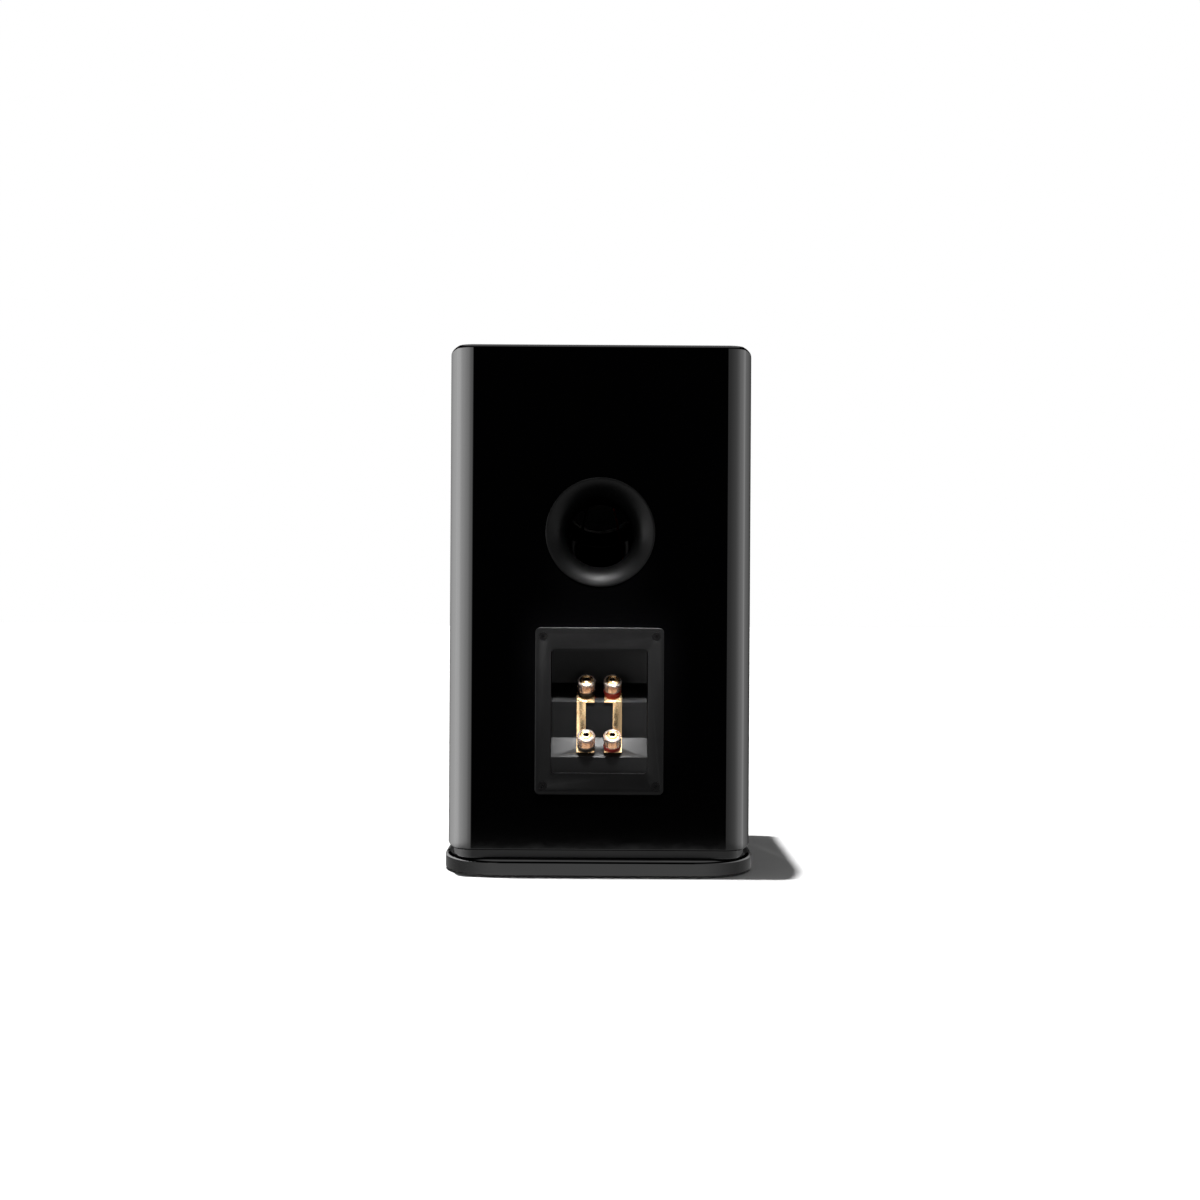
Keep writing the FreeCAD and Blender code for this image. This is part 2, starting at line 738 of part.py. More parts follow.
def terrace_profile(wall):
    """The stepped back of the recess in (Y, Z), grown outwards by a wall."""
    ease = f"({wall}) * tan(22.5)"
    face = CUP_FACE if wall == "0" else f"({BACK} + cup_gasket_thick)"
    return [
        (face, f"{LOW_Z} - {wall}"),
        (face, f"{HIGH_Z} + {wall}"),
        (f"{CUP_FACE} - {DEEP_DEPTH} - {wall}", f"{HIGH_Z} + {wall}"),
        (f"{CUP_FACE} - {DEEP_DEPTH} - {wall}", f"{DEEP_Z} - {ease}"),
        (f"{CUP_FACE} - {MIDDLE_DEPTH} - {wall}", f"{UPPER_Z} - {ease}"),
        (f"{CUP_FACE} - {MIDDLE_DEPTH} - {wall}", f"{MIDDLE_Z} - {ease}"),
        (f"{CUP_FACE} - low_step_depth - {wall}", f"{STEP_Z} - {ease}"),
        (f"{CUP_FACE} - low_step_depth - {wall}", f"{LOW_Z} - {wall}"),
    ]


def terminal_cup():
    """A moulded tray with two 45 degree slopes, so that the posts lean back within reach."""
    flange_outline = rounded("cup_wide / 2", "cup_high / 2", "cup_corner_radius")
    flange = slab("cup_flange_plate", "XY_Plane", flange_outline, "cup_flange",
                  ("0", f"{BACK} + cup_gasket_thick", CUP_Z), REARWARD)
    round_edges(flange, "cup_edge_radius", level(number("cup_flange")))
    shell_half = "(cup_open_wide / 2 + cup_wall)"
    shell = slab("cup_shell", "YZ_Plane", terrace_profile("cup_wall"), f"2 * {shell_half}",
                 (f"-{shell_half}", "0", "0"))
    space = slab("cup_space", "YZ_Plane", terrace_profile("0"), "cup_open_wide",
                 ("-cup_open_wide / 2", "0", "0"))
    shaft_outline = rounded("cup_open_wide / 2", "cup_open_high / 2", "cup_corner_radius")
    shaft = slab("cup_shaft", "XY_Plane", shaft_outline, f"{DEEP_DEPTH} + 1",
                 ("0", f"{CUP_FACE} - {DEEP_DEPTH}", CUP_Z), REARWARD)
    holes = [
        rod(f"stud_hole_{name}", "stud_radius + snug", "2 * cup_wall",
            along_post(at, "-1.5 * cup_wall"), POST_TILT)
        for name, at in POSTS.items()
    ]
    recess = common("cup_recess", space, shaft)
    screws = countersink("cup_flange_holes", CUP_SCREWS, REARWARD, *CUP_SCREW)
    keep("terminal_cup", cut("terminal_cup", fuse("cup_blank", [flange, shell]), [recess, screws] + holes))
    gasket_outline = rounded("cup_wide / 2 - 1", "cup_high / 2 - 1", "cup_corner_radius")
    blank = slab("gasket_blank", "XY_Plane", gasket_outline, "cup_gasket_thick",
                 ("0", BACK, CUP_Z), REARWARD)
    window_wide = "(cup_open_wide + 2 * cup_wall + loose)"
    window_high = "(cup_open_high + 2 * cup_wall + loose)"
    window = box("gasket_window", (window_wide, "cup_gasket_thick + 2", window_high),
                 (f"-{window_wide} / 2", f"{BACK} - 1", f"{CUP_Z} - {window_high} / 2"))
    gasket_holes = countersink("cup_gasket_holes", CUP_SCREWS, REARWARD, *CUP_SCREW)
    keep("cup_gasket", cut("cup_gasket", blank, [window, gasket_holes]))
    keep("cup_screws", copies("cup_screws", screw("cup_screw", *CUP_SCREW), CUP_SCREWS, REARWARD))


def posts():
    """Each post is a stud with a plug socket in its tip, a nut behind, and a knob on a ring."""
    stud = turned("stud", [
        ("0", "-stud_tail"),
        ("stud_radius", "-stud_tail"),
        ("stud_radius", "0"),
        ("stud_flange_radius", "0"),
        ("stud_flange_radius", "stud_flange_thick"),
        ("stud_radius", "stud_flange_thick"),
        ("stud_radius", "stud_tip"),
        ("socket_radius", "stud_tip"),
        ("socket_radius", "stud_tip - socket_deep"),
        ("0", "stud_tip - socket_deep - 1"),
    ])
    keep("terminal_studs", copies("terminal_studs", stud, POSTS.values(), POST_TILT))
    hexagon = doc.addObject("Part::Prism", "nut_hexagon")
    hexagon.Polygon = 6
    bind(hexagon, Circumradius="nut_radius", Height="nut_thick")
    nut = cut("nut", hexagon, [rod("nut_bore", "stud_radius + snug", "nut_thick + 2", ("0", "0", "-1"))])
    behind = [along_post(at, "-(cup_wall + snug + nut_thick)") for at in POSTS.values()]
    keep("terminal_nuts", copies("terminal_nuts", nut, behind, POST_TILT))
    ring_low = "(stud_flange_thick + jumper_thick + 2 * clamp_gap)"
    knob_low = f"({ring_low} + ring_thick + clamp_gap)"
    for name, at in POSTS.items():
        ring = turned(f"ring_{name}", [
            ("stud_radius + loose", ring_low),
            ("ring_radius", ring_low),
            ("ring_radius", f"{ring_low} + ring_thick"),
            ("stud_radius + loose", f"{ring_low} + ring_thick"),
        ], at, POST_TILT)
        keep(f"polarity_ring_{name}", ring)
        core = turned(f"core_{name}", [
            ("stud_radius + snug", knob_low),
            ("knob_radius - 0.6", knob_low),
            ("knob_radius - 0.6", f"{knob_low} + core_rim"),
            ("core_radius", f"{knob_low} + core_rim"),
            ("core_radius", f"{knob_low} + knob_long"),
            ("collar_radius", f"{knob_low} + knob_long"),
            ("collar_radius", f"{knob_low} + knob_long + collar_long"),
            ("stud_radius + snug", f"{knob_low} + knob_long + collar_long"),
        ], at, POST_TILT)
        keep(f"knob_core_{name}", core)
        keep(f"knob_sleeve_{name}", sleeve(name, at, knob_low))


def sleeve(name, at, knob_low):
    """The clear fluted sleeve that the fingers hold."""
    tube = turned(f"sleeve_tube_{name}", [
        ("core_radius + snug", f"{knob_low} + core_rim + snug"),
        ("knob_radius", f"{knob_low} + core_rim + snug"),
        ("knob_radius", f"{knob_low} + knob_long - 0.8"),
        ("knob_radius - 0.8", f"{knob_low} + knob_long", "0.8", 1),
        ("core_radius + snug", f"{knob_low} + knob_long"),
    ], at, POST_TILT)
    count = int(number("sleeve_flutes"))
    radius = "(knob_radius + flute_radius / 2)"
    cutter = rod(f"flute_{name}", "flute_radius", "knob_long + 2", (radius, "0", "0"))
    flutes = []
    for index in range(count):
        link = doc.addObject("App::Link", f"flute_{name}_{index}")
        link.LinkedObject = cutter
        angle = 360 * index / count
        x, y, z = along_post(at, knob_low)
        across = f"{radius} * cos({angle})"
        lift = f"{radius} * sin({angle}) * sin(45)"
        seat(link, (f"{x} + {across}", f"{y} - {lift}", f"{z} + {lift}"), POST_TILT)
        flutes.append(link)
    return cut(f"sleeve_{name}", tube, [bundle(f"flutes_{name}", flutes)])


def jumpers():
    """Bent gold-plated links that join each upper post to the one below it. The ears are slots
    open towards the middle, so with the knobs loose a jumper slides out sideways."""
    near = "(stud_flange_thick + clamp_gap)"
    far = "(stud_flange_thick + clamp_gap + jumper_thick)"
    half_root = "sin(45)"
    middle_y = f"({CUP_FACE} - {MIDDLE_DEPTH})"

    def low_end(rise):
        return (f"{middle_y} + (jumper_ear + {rise}) * {half_root}",
                f"{MIDDLE_Z} - (jumper_ear - {rise}) * {half_root}")

    def high_end(rise):
        return (f"{middle_y} - (jumper_ear - {rise}) * {half_root}",
                f"{UPPER_Z} + (jumper_ear + {rise}) * {half_root}")

    def bends(rise):
        ease = f"{rise} * tan(22.5)"
        return [(f"{middle_y} + {rise}", f"{MIDDLE_Z} + {ease}"),
                (f"{middle_y} + {rise}", f"{UPPER_Z} + {ease}")]

    outline = [low_end(far)] + bends(far) + [high_end(far)]
    outline += [high_end(near)] + bends(near)[::-1] + [low_end(near)]
    wide = "(jumper_outer - jumper_inner)"
    for colour, side in (("red", -1), ("black", 1)):
        start = "jumper_inner" if side > 0 else "-jumper_outer"
        bent = slab(f"jumper_{colour}_bent", "YZ_Plane", outline, wide, (start, "0", "0"))
        gap_start = "jumper_inner - 1" if side > 0 else "-jumper_bridge"
        gap_sides = ("jumper_bridge - jumper_inner + 1", "4", "middle_step_high - 2")
        gap_corner = (gap_start, f"{middle_y} - 0.5", f"{MIDDLE_Z} + 1.5")
        tools = [box(f"jumper_{colour}_gap", gap_sides, gap_corner)]
        for level_name in ("lower", "upper"):
            at = POSTS[f"{level_name}_{colour}"]
            slot = f"jumper_{colour}_{level_name}"
            tools.append(rod(slot + "_round", "jumper_slot_radius", "2 * jumper_thick + 1",
                             along_post(at, "0"), POST_TILT))
            side_step = "(post_spacing / 2 - jumper_inner + 1)" if side > 0 else "0"
            sides = ("post_spacing / 2 - jumper_inner + 1", "2 * jumper_slot_radius", "2 * jumper_thick + 1")
            corner = (f"{at[0]} - {side_step}", f"{at[1]} - jumper_slot_radius * {half_root}",
                      f"{at[2]} + jumper_slot_radius * {half_root}")
            tools.append(box(slot + "_slot", sides, corner, POST_TILT))
        keep(f"jumper_{colour}", cut(f"jumper_{colour}", bent, tools))


# --- woofer: heights are in front of the baffle's face ------------------------------------

def woofer_chassis():
    basket = turned("basket_blank", [
        ("woofer_radius", "woofer_proud - woofer_flange"),
        ("woofer_radius", "woofer_proud - 0.6"),
        ("woofer_radius - 0.6", "woofer_proud", "0.6", 1),
        ("woofer_ledge_radius", "woofer_proud"),
        ("woofer_ledge_radius", "-2"),
        ("woofer_window_radius", "-2"),
        ("woofer_window_radius", "-5"),
        ("spider_shelf_radius", "-spider_depth"),
        ("basket_cup_radius", "-spider_depth"),
        ("basket_cup_radius", "basket_wall - basket_depth"),
        ("woofer_magnet_bore", "basket_wall - basket_depth"),
        ("woofer_magnet_bore", "-basket_depth"),
        ("basket_cup_radius + basket_wall", "-basket_depth"),
        ("basket_cup_radius + basket_wall", "-spider_depth - basket_wall"),
        ("spider_shelf_radius + 0.9 * basket_wall", "-spider_depth - basket_wall"),
        ("woofer_hole_radius - 1.5", "woofer_proud - woofer_flange"),
    ], WOOFER, FORWARD)
    windows = []
    for index in range(3):
        turn = FORWARD.multiply(FreeCAD.Rotation(Vector(0, 0, 1), 60 * index))
        window = doc.addObject("Part::Box", f"basket_window_{index}")
        bind(window, Length="3 * woofer_radius", Width="window_wide", Height="basket_window_high")
        corner = turn.multVec(Vector(-1, 0, 0))
        side = turn.multVec(Vector(0, -1, 0))
        at = [
            f"{WOOFER[axis]} + {corner[axis]} * 1.5 * woofer_radius + {side[axis]} * window_wide / 2"
            for axis in range(3)
        ]
        at[1] = f"{at[1]} + basket_window_drop"
        windows.append(seat(window, at, turn))
    screws = countersink("basket_screw_holes", WOOFER_SCREWS, FORWARD, *WOOFER_SCREW)
    keep("woofer_basket", cut("woofer_basket", basket, windows + [screws]))
    woofer_screw = screw("woofer_screw", *WOOFER_SCREW)
    keep("woofer_screws", copies("woofer_screws", woofer_screw, WOOFER_SCREWS, FORWARD))
    trim = turned("woofer_trim", [
        ("woofer_ledge_radius - 5", "-1"),
        ("woofer_ledge_radius - snug", "-1"),
        ("woofer_ledge_radius - snug", "woofer_proud - 0.4"),
        ("woofer_ledge_radius - 0.6", "woofer_proud"),
        ("woofer_ledge_radius - 4.4", "woofer_proud"),
    ], WOOFER, FORWARD)
    keep("woofer_trim_ring", trim)


def woofer_motor():
    gap_outer = "(pole_radius + woofer_gap)"
    plate_back = "(basket_depth + woofer_plate_thick)"
    magnet_back = f"({plate_back} + woofer_magnet_thick)"
    rear = f"({magnet_back} + woofer_back_thick)"
    plate = turned("woofer_plate", [
        (gap_outer, f"-{plate_back}"),
        ("woofer_plate_radius", f"-{plate_back}"),
        ("woofer_plate_radius", "-basket_depth"),
        (gap_outer, "-basket_depth"),
    ], WOOFER, FORWARD)
    keep("woofer_top_plate", plate)
    magnet = turned("woofer_ferrite", [
        ("woofer_magnet_bore", f"-{magnet_back}"),
        ("woofer_magnet_radius", f"-{magnet_back}"),
        ("woofer_magnet_radius", f"-{plate_back}"),
        ("woofer_magnet_bore", f"-{plate_back}"),
    ], WOOFER, FORWARD)
    keep("woofer_magnet", magnet)
    yoke = turned("woofer_yoke_turned", [
        ("woofer_vent_radius", f"-{rear}"),
        ("woofer_magnet_radius - 5", f"-{rear}"),
        ("woofer_magnet_radius - 4", f"1 - {rear}"),
        ("woofer_magnet_radius - 4", f"-{magnet_back}"),
        ("pole_radius", f"-{magnet_back}"),
        ("pole_radius", "-basket_depth"),
        ("woofer_vent_radius", "-basket_depth"),
    ], WOOFER, FORWARD)
    keep("woofer_yoke", yoke)
    strip = box("tag_strip", ("tag_strip_long", "tag_strip_wide", "tag_strip_thick"),
                ("-tag_strip_long / 2", f"{TAG_Y} - tag_strip_wide / 2", f"{TAG_Z} - tag_strip_thick"))
    pins = [
        rod(f"tag_pin_{index}", "tag_radius", "tag_long",
            (f"{side} * tag_spacing / 2", TAG_Y, f"{TAG_Z} - tag_strip_thick - tag_long"))
        for index, side in enumerate((-1, 1))
    ]
    keep("woofer_tags", bundle("woofer_tags", [strip] + pins))


def woofer_moving():
    """The cone, its cap and its coil move together; the surround and the spider flex."""
    former_outer = "(former_radius + former_thick)"
    neck = "-(cone_lip_depth + cone_depth)"
    cone = turned("cone", [
        (f"{former_outer} + snug", neck),
        (f"{former_outer} + snug + cone_thick", neck),
        ("cone_radius", "-cone_lip_depth - cone_thick", "cone_curve_radius + 2", 1),
        ("cone_radius", "-cone_lip_depth"),
        ("cone_radius - 1.5", "-cone_lip_depth"),
        (f"{former_outer} + snug", f"{neck} + 2.2", "cone_curve_radius", -1),
    ], WOOFER, FORWARD)
    keep("woofer_cone", cone)
    seated = "(cone_lip_depth + cone_depth - dust_cap_rise)"
    rim = "dust_cap_radius - dust_cap_thick"
    inner_high = "dust_cap_high - dust_cap_thick"
    cap = turned("dust_cap", [
        ("0", f"dust_cap_high - {seated}", ball("dust_cap_radius", "dust_cap_high"), 1),
        ("0", f"{inner_high} - {seated}"),
        (rim, f"-{seated}", ball(rim, inner_high), -1),
        ("dust_cap_radius", f"-{seated}"),
    ], WOOFER, FORWARD)
    keep("woofer_dust_cap", cap)
    coil_back = "(basket_depth + 0.75 * winding_long)"
    coil = turned("woofer_coil", [
        ("former_radius", f"-{coil_back}"),
        (f"{former_outer} + winding_thick", f"-{coil_back}"),
        (f"{former_outer} + winding_thick", f"winding_long - {coil_back}"),
        (former_outer, f"winding_long - {coil_back}"),
        (former_outer, f"{neck} + 2"),
        ("former_radius", f"{neck} + 2"),
    ], WOOFER, FORWARD)
    keep("woofer_voice_coil", coil)
    middle = "(woofer_ledge_radius - roll_inset)"
    outer_roll = "(roll_radius + roll_thick)"
    ledge = "-2"
    glued = f"({ledge} + roll_thick)"
    foot = "(0.1 - cone_lip_depth)"
    foot_top = f"({foot} + roll_thick)"

    def half_wide(radius, high):
        """Half the width of the roll at a height above the ledge's own zero."""
        return f"sqrt({radius} ^ 2 - ({high} + roll_depth) ^ 2)"

    surround = turned("surround", [
        ("woofer_ledge_radius - 0.2", ledge),
        ("woofer_ledge_radius - 0.2", glued),
        (f"{middle} + {half_wide(outer_roll, glued)}", glued),
        (f"{middle} - {half_wide(outer_roll, foot_top)}", foot_top, outer_roll, 1),
        ("cone_radius - surround_foot", foot_top),
        ("cone_radius - surround_foot", foot),
        (f"{middle} - {half_wide('roll_radius', foot)}", foot),
        (f"{middle} + {half_wide('roll_radius', ledge)}", ledge, "roll_radius", -1),
    ], WOOFER, FORWARD)
    keep("woofer_surround", surround)
    web = "(spider_thick - spider_depth)"
    spider = turned("spider", [
        (f"{former_outer} + snug", f"{web} + spider_thick"),
        ("spider_shelf_radius - 1.8", f"{web} + spider_thick"),
        ("spider_shelf_radius - 1.8", "0.1 - spider_depth"),
        ("basket_cup_radius + 3", "0.1 - spider_depth"),
        ("basket_cup_radius + 3", web),
        (f"{former_outer} + snug", web),
    ], WOOFER, FORWARD)
    keep("woofer_spider", spider)


# --- tweeter ------------------------------------------------------------------------------

def tweeter():
    back = "(dome_depth + 0.8)"
    plate_low = f"({back} + tweeter_plate_thick)"
    magnet_low = f"({plate_low} + tweeter_magnet_thick)"
    seat_radius = "(dome_seat_radius + loose)"
    face = turned("faceplate_blank", [
        ("tweeter_radius", "tweeter_proud - tweeter_flange"),
        ("tweeter_radius", "tweeter_proud - 0.6"),
        ("tweeter_radius - 0.6", "tweeter_proud", "0.6", 1),
        ("tweeter_mouth_radius", "tweeter_proud"),
        (seat_radius, "-dome_depth + 2", "70", 1),
        (seat_radius, f"-{back}"),
        ("tweeter_magnet_radius", f"-{back}"),
        ("tweeter_hole_radius - 2", "tweeter_proud - tweeter_flange"),
    ], TWEETER, FORWARD)
    holes = countersink("faceplate_holes", TWEETER_SCREWS, FORWARD, *TWEETER_SCREW)
    keep("tweeter_faceplate", cut("tweeter_faceplate", face, [holes]))
    tweeter_screw = screw("tweeter_screw", *TWEETER_SCREW)
    keep("tweeter_screws", copies("tweeter_screws", tweeter_screw, TWEETER_SCREWS, FORWARD))
    gap_outer = "(tweeter_pole_radius + tweeter_gap)"
    keep("tweeter_top_plate", turned("tweeter_plate", [
        (gap_outer, f"-{plate_low}"),
        ("tweeter_magnet_radius - 2", f"-{plate_low}"),
        ("tweeter_magnet_radius - 2", f"-{back}"),
        (gap_outer, f"-{back}"),
    ], TWEETER, FORWARD))
    keep("tweeter_magnet", turned("tweeter_ring", [
        ("tweeter_pole_radius + 7", f"-{magnet_low}"),
        ("tweeter_magnet_radius", f"-{magnet_low}"),
        ("tweeter_magnet_radius", f"-{plate_low}"),
        ("tweeter_pole_radius + 7", f"-{plate_low}"),
    ], TWEETER, FORWARD))
    keep("tweeter_yoke", turned("tweeter_yoke_turned", [
        ("3", f"-{magnet_low} - 5"),
        ("tweeter_magnet_radius - 2", f"-{magnet_low} - 5"),
        ("tweeter_magnet_radius - 2", f"-{magnet_low}"),
        ("tweeter_pole_radius", f"-{magnet_low}"),
        ("tweeter_pole_radius", f"-{back}"),
        ("3", f"-{back}"),
    ], TWEETER, FORWARD))
    low = f"({magnet_low} + 5 + chamber_long)"
    keep("tweeter_rear_chamber", turned("chamber", [
        ("0", f"-{low}"),
        ("chamber_radius", f"-{low}"),
        ("chamber_radius", f"-{magnet_low} - 5"),
        ("chamber_radius - 2.5", f"-{magnet_low} - 5"),
        ("chamber_radius - 2.5", f"-{low} + 2.5"),
        ("0", f"-{low} + 2.5"),
    ], TWEETER, FORWARD))
    rim_high = "(dome_high + dome_thick - dome_rim_thick)"
    keep("tweeter_dome", turned("dome", [
        ("0", "-dome_depth + dome_high + dome_thick", ball("dome_radius + dome_thick", rim_high), 1),
        ("0", "-dome_depth + dome_high"),
        ("dome_radius", "-dome_depth", ball("dome_radius", "dome_high"), -1),
        ("dome_seat_radius", "-dome_depth"),
        ("dome_seat_radius", "-dome_depth + dome_rim_thick"),
        ("dome_radius + dome_thick", "-dome_depth + dome_rim_thick"),
    ], TWEETER, FORWARD))
    keep("tweeter_voice_coil", turned("tweeter_coil", [
        ("dome_radius", f"-{plate_low} - 0.5"),
        ("dome_radius + 0.45", f"-{plate_low} - 0.5"),
        ("dome_radius + 0.45", "-dome_depth"),
        ("dome_radius", "-dome_depth"),
    ], TWEETER, FORWARD))


# --- crossover and leads ------------------------------------------------------------------

BOARD_Z = f"({SHELF} + board_stand)"
BOARD_TOP = f"({BOARD_Z} + board_thick)"
BOARD_BACK = "(board_front + board_deep)"


def crossover():
    """The filter board on the cabinet's floor, with its coils, capacitors and resistors."""
    pieces = [box("board", ("board_wide", "board_deep", "board_thick"),
                  ("-board_wide / 2", "board_front", BOARD_Z))]
    for side in (-1, 1):
        for end, y in (("front", "board_front + 8"), ("back", f"{BOARD_BACK} - 8")):
            pieces.append(rod(f"stand_{end}_{side + 1}", "4", "board_stand",
                              (f"{side} * (board_wide / 2 - 8)", y, SHELF)))
    pieces.append(box("front_block", ("64", "block_deep", "block_high"), ("-32", "board_front", BOARD_TOP)))
    pieces.append(box("rear_block", ("104", "block_deep", "block_high"),
                      ("-52", f"{BOARD_BACK} - block_deep", BOARD_TOP)))
    keep("crossover_board", bundle("crossover_board", pieces))
    coil = turned("choke", [("9", "0"), ("22", "0"), ("22", "19"), ("9", "19")])
    coil_places = [(x, y, BOARD_TOP) for x, y in (("-50", "33"), ("-50", "-13"), ("-2", "33"))]
    keep("crossover_coils", copies("crossover_coils", coil, coil_places))
    capacitors = [
        rod(f"capacitor_{index}", radius, "38", (x, y, f"{BOARD_TOP} + {radius}"), ACROSS)
        for index, (radius, x, y) in enumerate((("9", "-22", "-2"), ("8", "-22", "-21"), ("8", "25", "-21")))
    ]
    keep("crossover_capacitors", bundle("crossover_capacitors", capacitors))
    resistors = [
        box(f"resistor_{index}", ("44", "9", "9"), ("26", y, BOARD_TOP))
        for index, y in enumerate(("-6", "12", "30"))
    ]
    keep("crossover_resistors", bundle("crossover_resistors", resistors))


def route(points):
    """Straight runs joined by tangent arcs, each as large as its two runs allow."""
    edges = []
    leave = points[0]
    tightest = 1000
    for before, corner, after in zip(points, points[1:], points[2:]):
        arriving = corner - before
        leaving = after - corner
        half_turn = arriving.getAngle(leaving) / 2
        trim = 0.45 * min(arriving.Length, leaving.Length)
        radius = trim / math.tan(half_turn)
        tightest = min(tightest, radius)
        first = corner - Vector(arriving).normalize() * trim
        last = corner + Vector(leaving).normalize() * trim
        inward = (Vector(leaving).normalize() - Vector(arriving).normalize()).normalize()
        middle = corner + inward * (radius / math.cos(half_turn) - radius)
        edges.append(Part.LineSegment(leave, first).toShape())
        edges.append(Part.Arc(first, middle, last).toShape())
        leave = last
    edges.append(Part.LineSegment(leave, points[-1]).toShape())
    return Part.Wire(edges), tightest


def leads(name, paths):
    """Insulated wires, each one solid along its route and mirrored to the other side."""
    radius = number("lead_radius")
    solids = []
    for points in paths:
        wire, tightest = route(points)
        circle = Part.Circle(points[0], points[1] - points[0], radius)
        section = Part.Wire(circle.toShape())
        tube = wire.makePipeShell([section], True, True)
        length = wire.Length
        share = tube.Volume / (math.pi * radius ** 2 * length)
        print(f"{name}: length {length:.0f}, tightest radius {tightest:.1f}, "
              f"volume to section times length {share:.3f}")
        solids.append(tube)
        solids.append(tube.mirror(Vector(), Vector(1, 0, 0)))
    wires = doc.addObject("Part::Feature", name)
    wires.Shape = Part.Compound(solids)
    keep(name, wires)


def place(*texts):
    """A point of a route, worked out from the sheet."""
    return Vector(*(number(text) for text in texts))


def all_leads():
    """Two wires from each pair of studs to the board, and a pair from the board to each driver."""
    entry = f"{BOARD_TOP} + block_high / 2"
    lower = along_post(POSTS["lower_black"], "-stud_tail")
    upper = along_post(POSTS["upper_black"], "-stud_tail")
    lower_start = place(*lower)
    upper_start = place(*upper)
    inwards = Vector(0, -1, -1).normalize()
    lower_end = place("27", BOARD_BACK, entry)
    upper_end = place("44", BOARD_BACK, entry)
    lower_path = [
        lower_start,
        lower_start + inwards * 11,
        lower_end + Vector(-13, 29, 13),
        lower_end + Vector(-5, 20, 5),
        lower_end + Vector(0, 11, 0),
        lower_end,
    ]
    upper_path = [
        upper_start,
        upper_start + inwards * 11,
        upper_start + Vector(4.5, -14, -19.5),
        upper_start + Vector(14.5, -16, -32),
        upper_end + Vector(-9, 18, 25),
        upper_end + Vector(-2, 22, 10),
        upper_end + Vector(0, 12.5, 0),
        upper_end,
    ]
    leads("input_leads", [lower_path, upper_path])
    tag = place("tag_spacing / 2", TAG_Y, f"{TAG_Z} - tag_strip_thick - tag_long")
    woofer_end = place("16", "board_front", entry)
    leads("woofer_leads", [[
        tag,
        tag + Vector(0, 0, -11),
        tag + Vector(2, 8, -20),
        woofer_end + Vector(-3, -34, -7),
        woofer_end + Vector(-1, -22, -3),
        woofer_end + Vector(0, -11, 0),
        woofer_end,
    ]])
    low = "(dome_depth + 0.8 + tweeter_plate_thick + tweeter_magnet_thick + 5 + chamber_long)"
    chamber = place("7", f"{FRONT} + {low}", TWEETER[2])
    tweeter_end = place("24", "board_front", f"{entry} - 1")
    leads("tweeter_leads", [[
        chamber,
        chamber + Vector(0, 12, 0),
        chamber + Vector(2, 24, -8),
        chamber + Vector(6, 35, -24),
        chamber + Vector(10, 42, -46),
        chamber + Vector(13, 47, -70),
        chamber + Vector(16, 47, -95),
        tweeter_end + Vector(1, -5, 118),
        tweeter_end + Vector(1, -7, 93),
        tweeter_end + Vector(2, -9, 68),
        tweeter_end + Vector(2, -10, 46),
        tweeter_end + Vector(1, -14, 35),
        tweeter_end + Vector(0, -20, 24),
        tweeter_end + Vector(0, -23.5, 13),
        tweeter_end + Vector(0, -20, 4),
        tweeter_end + Vector(0, -11, 0),
        tweeter_end,
    ]])


end_panels()
side_panels()
back_panel()
front_baffle()
brace_and_pads()
plinth_and_feet()
port()
terminal_cup()
posts()
jumpers()
woofer_chassis()
woofer_motor()
woofer_moving()
tweeter()
crossover()
all_leads()

doc.recompute()
for thing in doc.Objects:
    if "Invalid" in thing.State or "Error" in thing.State:
        raise RuntimeError(f"{thing.Label} did not build: {thing.State}")
for name, thing in nodes.items():
    shape = thing.Shape
    if shape.isNull() or not shape.isValid() or not shape.Solids:
        raise RuntimeError(f"{name} is not a valid solid")

os.makedirs("parts", exist_ok=True)
for name, thing in nodes.items():
    thing.Shape.exportStep(f"parts/{name}.step")
print(f"{len(nodes)} sub-parts written")
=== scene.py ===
# %% [markdown]
# # A bookshelf loudspeaker, seen from behind
#
# The cabinet, its port, posts and drivers come in as a finished frame, and this lesson dresses it.
# Everything is in metres. X is the width, Y is the depth with the listener at -Y, and Z is up.
# We look at the back, so the camera stands on +Y.

# %% Load the frame
import math
import json
import random

import bmesh
import bpy
from mathutils import Matrix, Vector, noise

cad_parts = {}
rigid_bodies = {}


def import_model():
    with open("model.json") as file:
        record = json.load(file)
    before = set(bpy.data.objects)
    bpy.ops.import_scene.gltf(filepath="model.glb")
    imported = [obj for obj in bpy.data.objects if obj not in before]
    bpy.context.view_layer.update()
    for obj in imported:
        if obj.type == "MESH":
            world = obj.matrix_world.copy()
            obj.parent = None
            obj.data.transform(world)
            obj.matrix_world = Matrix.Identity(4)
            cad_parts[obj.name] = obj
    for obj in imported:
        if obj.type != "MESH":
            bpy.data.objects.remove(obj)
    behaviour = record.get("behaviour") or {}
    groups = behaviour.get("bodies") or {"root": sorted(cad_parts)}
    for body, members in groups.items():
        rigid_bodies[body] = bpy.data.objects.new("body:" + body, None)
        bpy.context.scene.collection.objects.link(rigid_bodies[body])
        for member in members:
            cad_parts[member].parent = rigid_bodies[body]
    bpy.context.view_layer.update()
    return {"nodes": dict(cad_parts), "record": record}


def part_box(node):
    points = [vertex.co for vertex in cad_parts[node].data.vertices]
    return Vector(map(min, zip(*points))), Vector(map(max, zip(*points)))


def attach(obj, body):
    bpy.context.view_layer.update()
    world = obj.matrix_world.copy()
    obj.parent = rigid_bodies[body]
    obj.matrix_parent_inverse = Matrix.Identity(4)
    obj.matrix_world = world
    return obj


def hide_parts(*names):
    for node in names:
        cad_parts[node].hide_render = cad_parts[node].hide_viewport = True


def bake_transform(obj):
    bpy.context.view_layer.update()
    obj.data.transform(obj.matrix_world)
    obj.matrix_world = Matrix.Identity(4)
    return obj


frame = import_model()
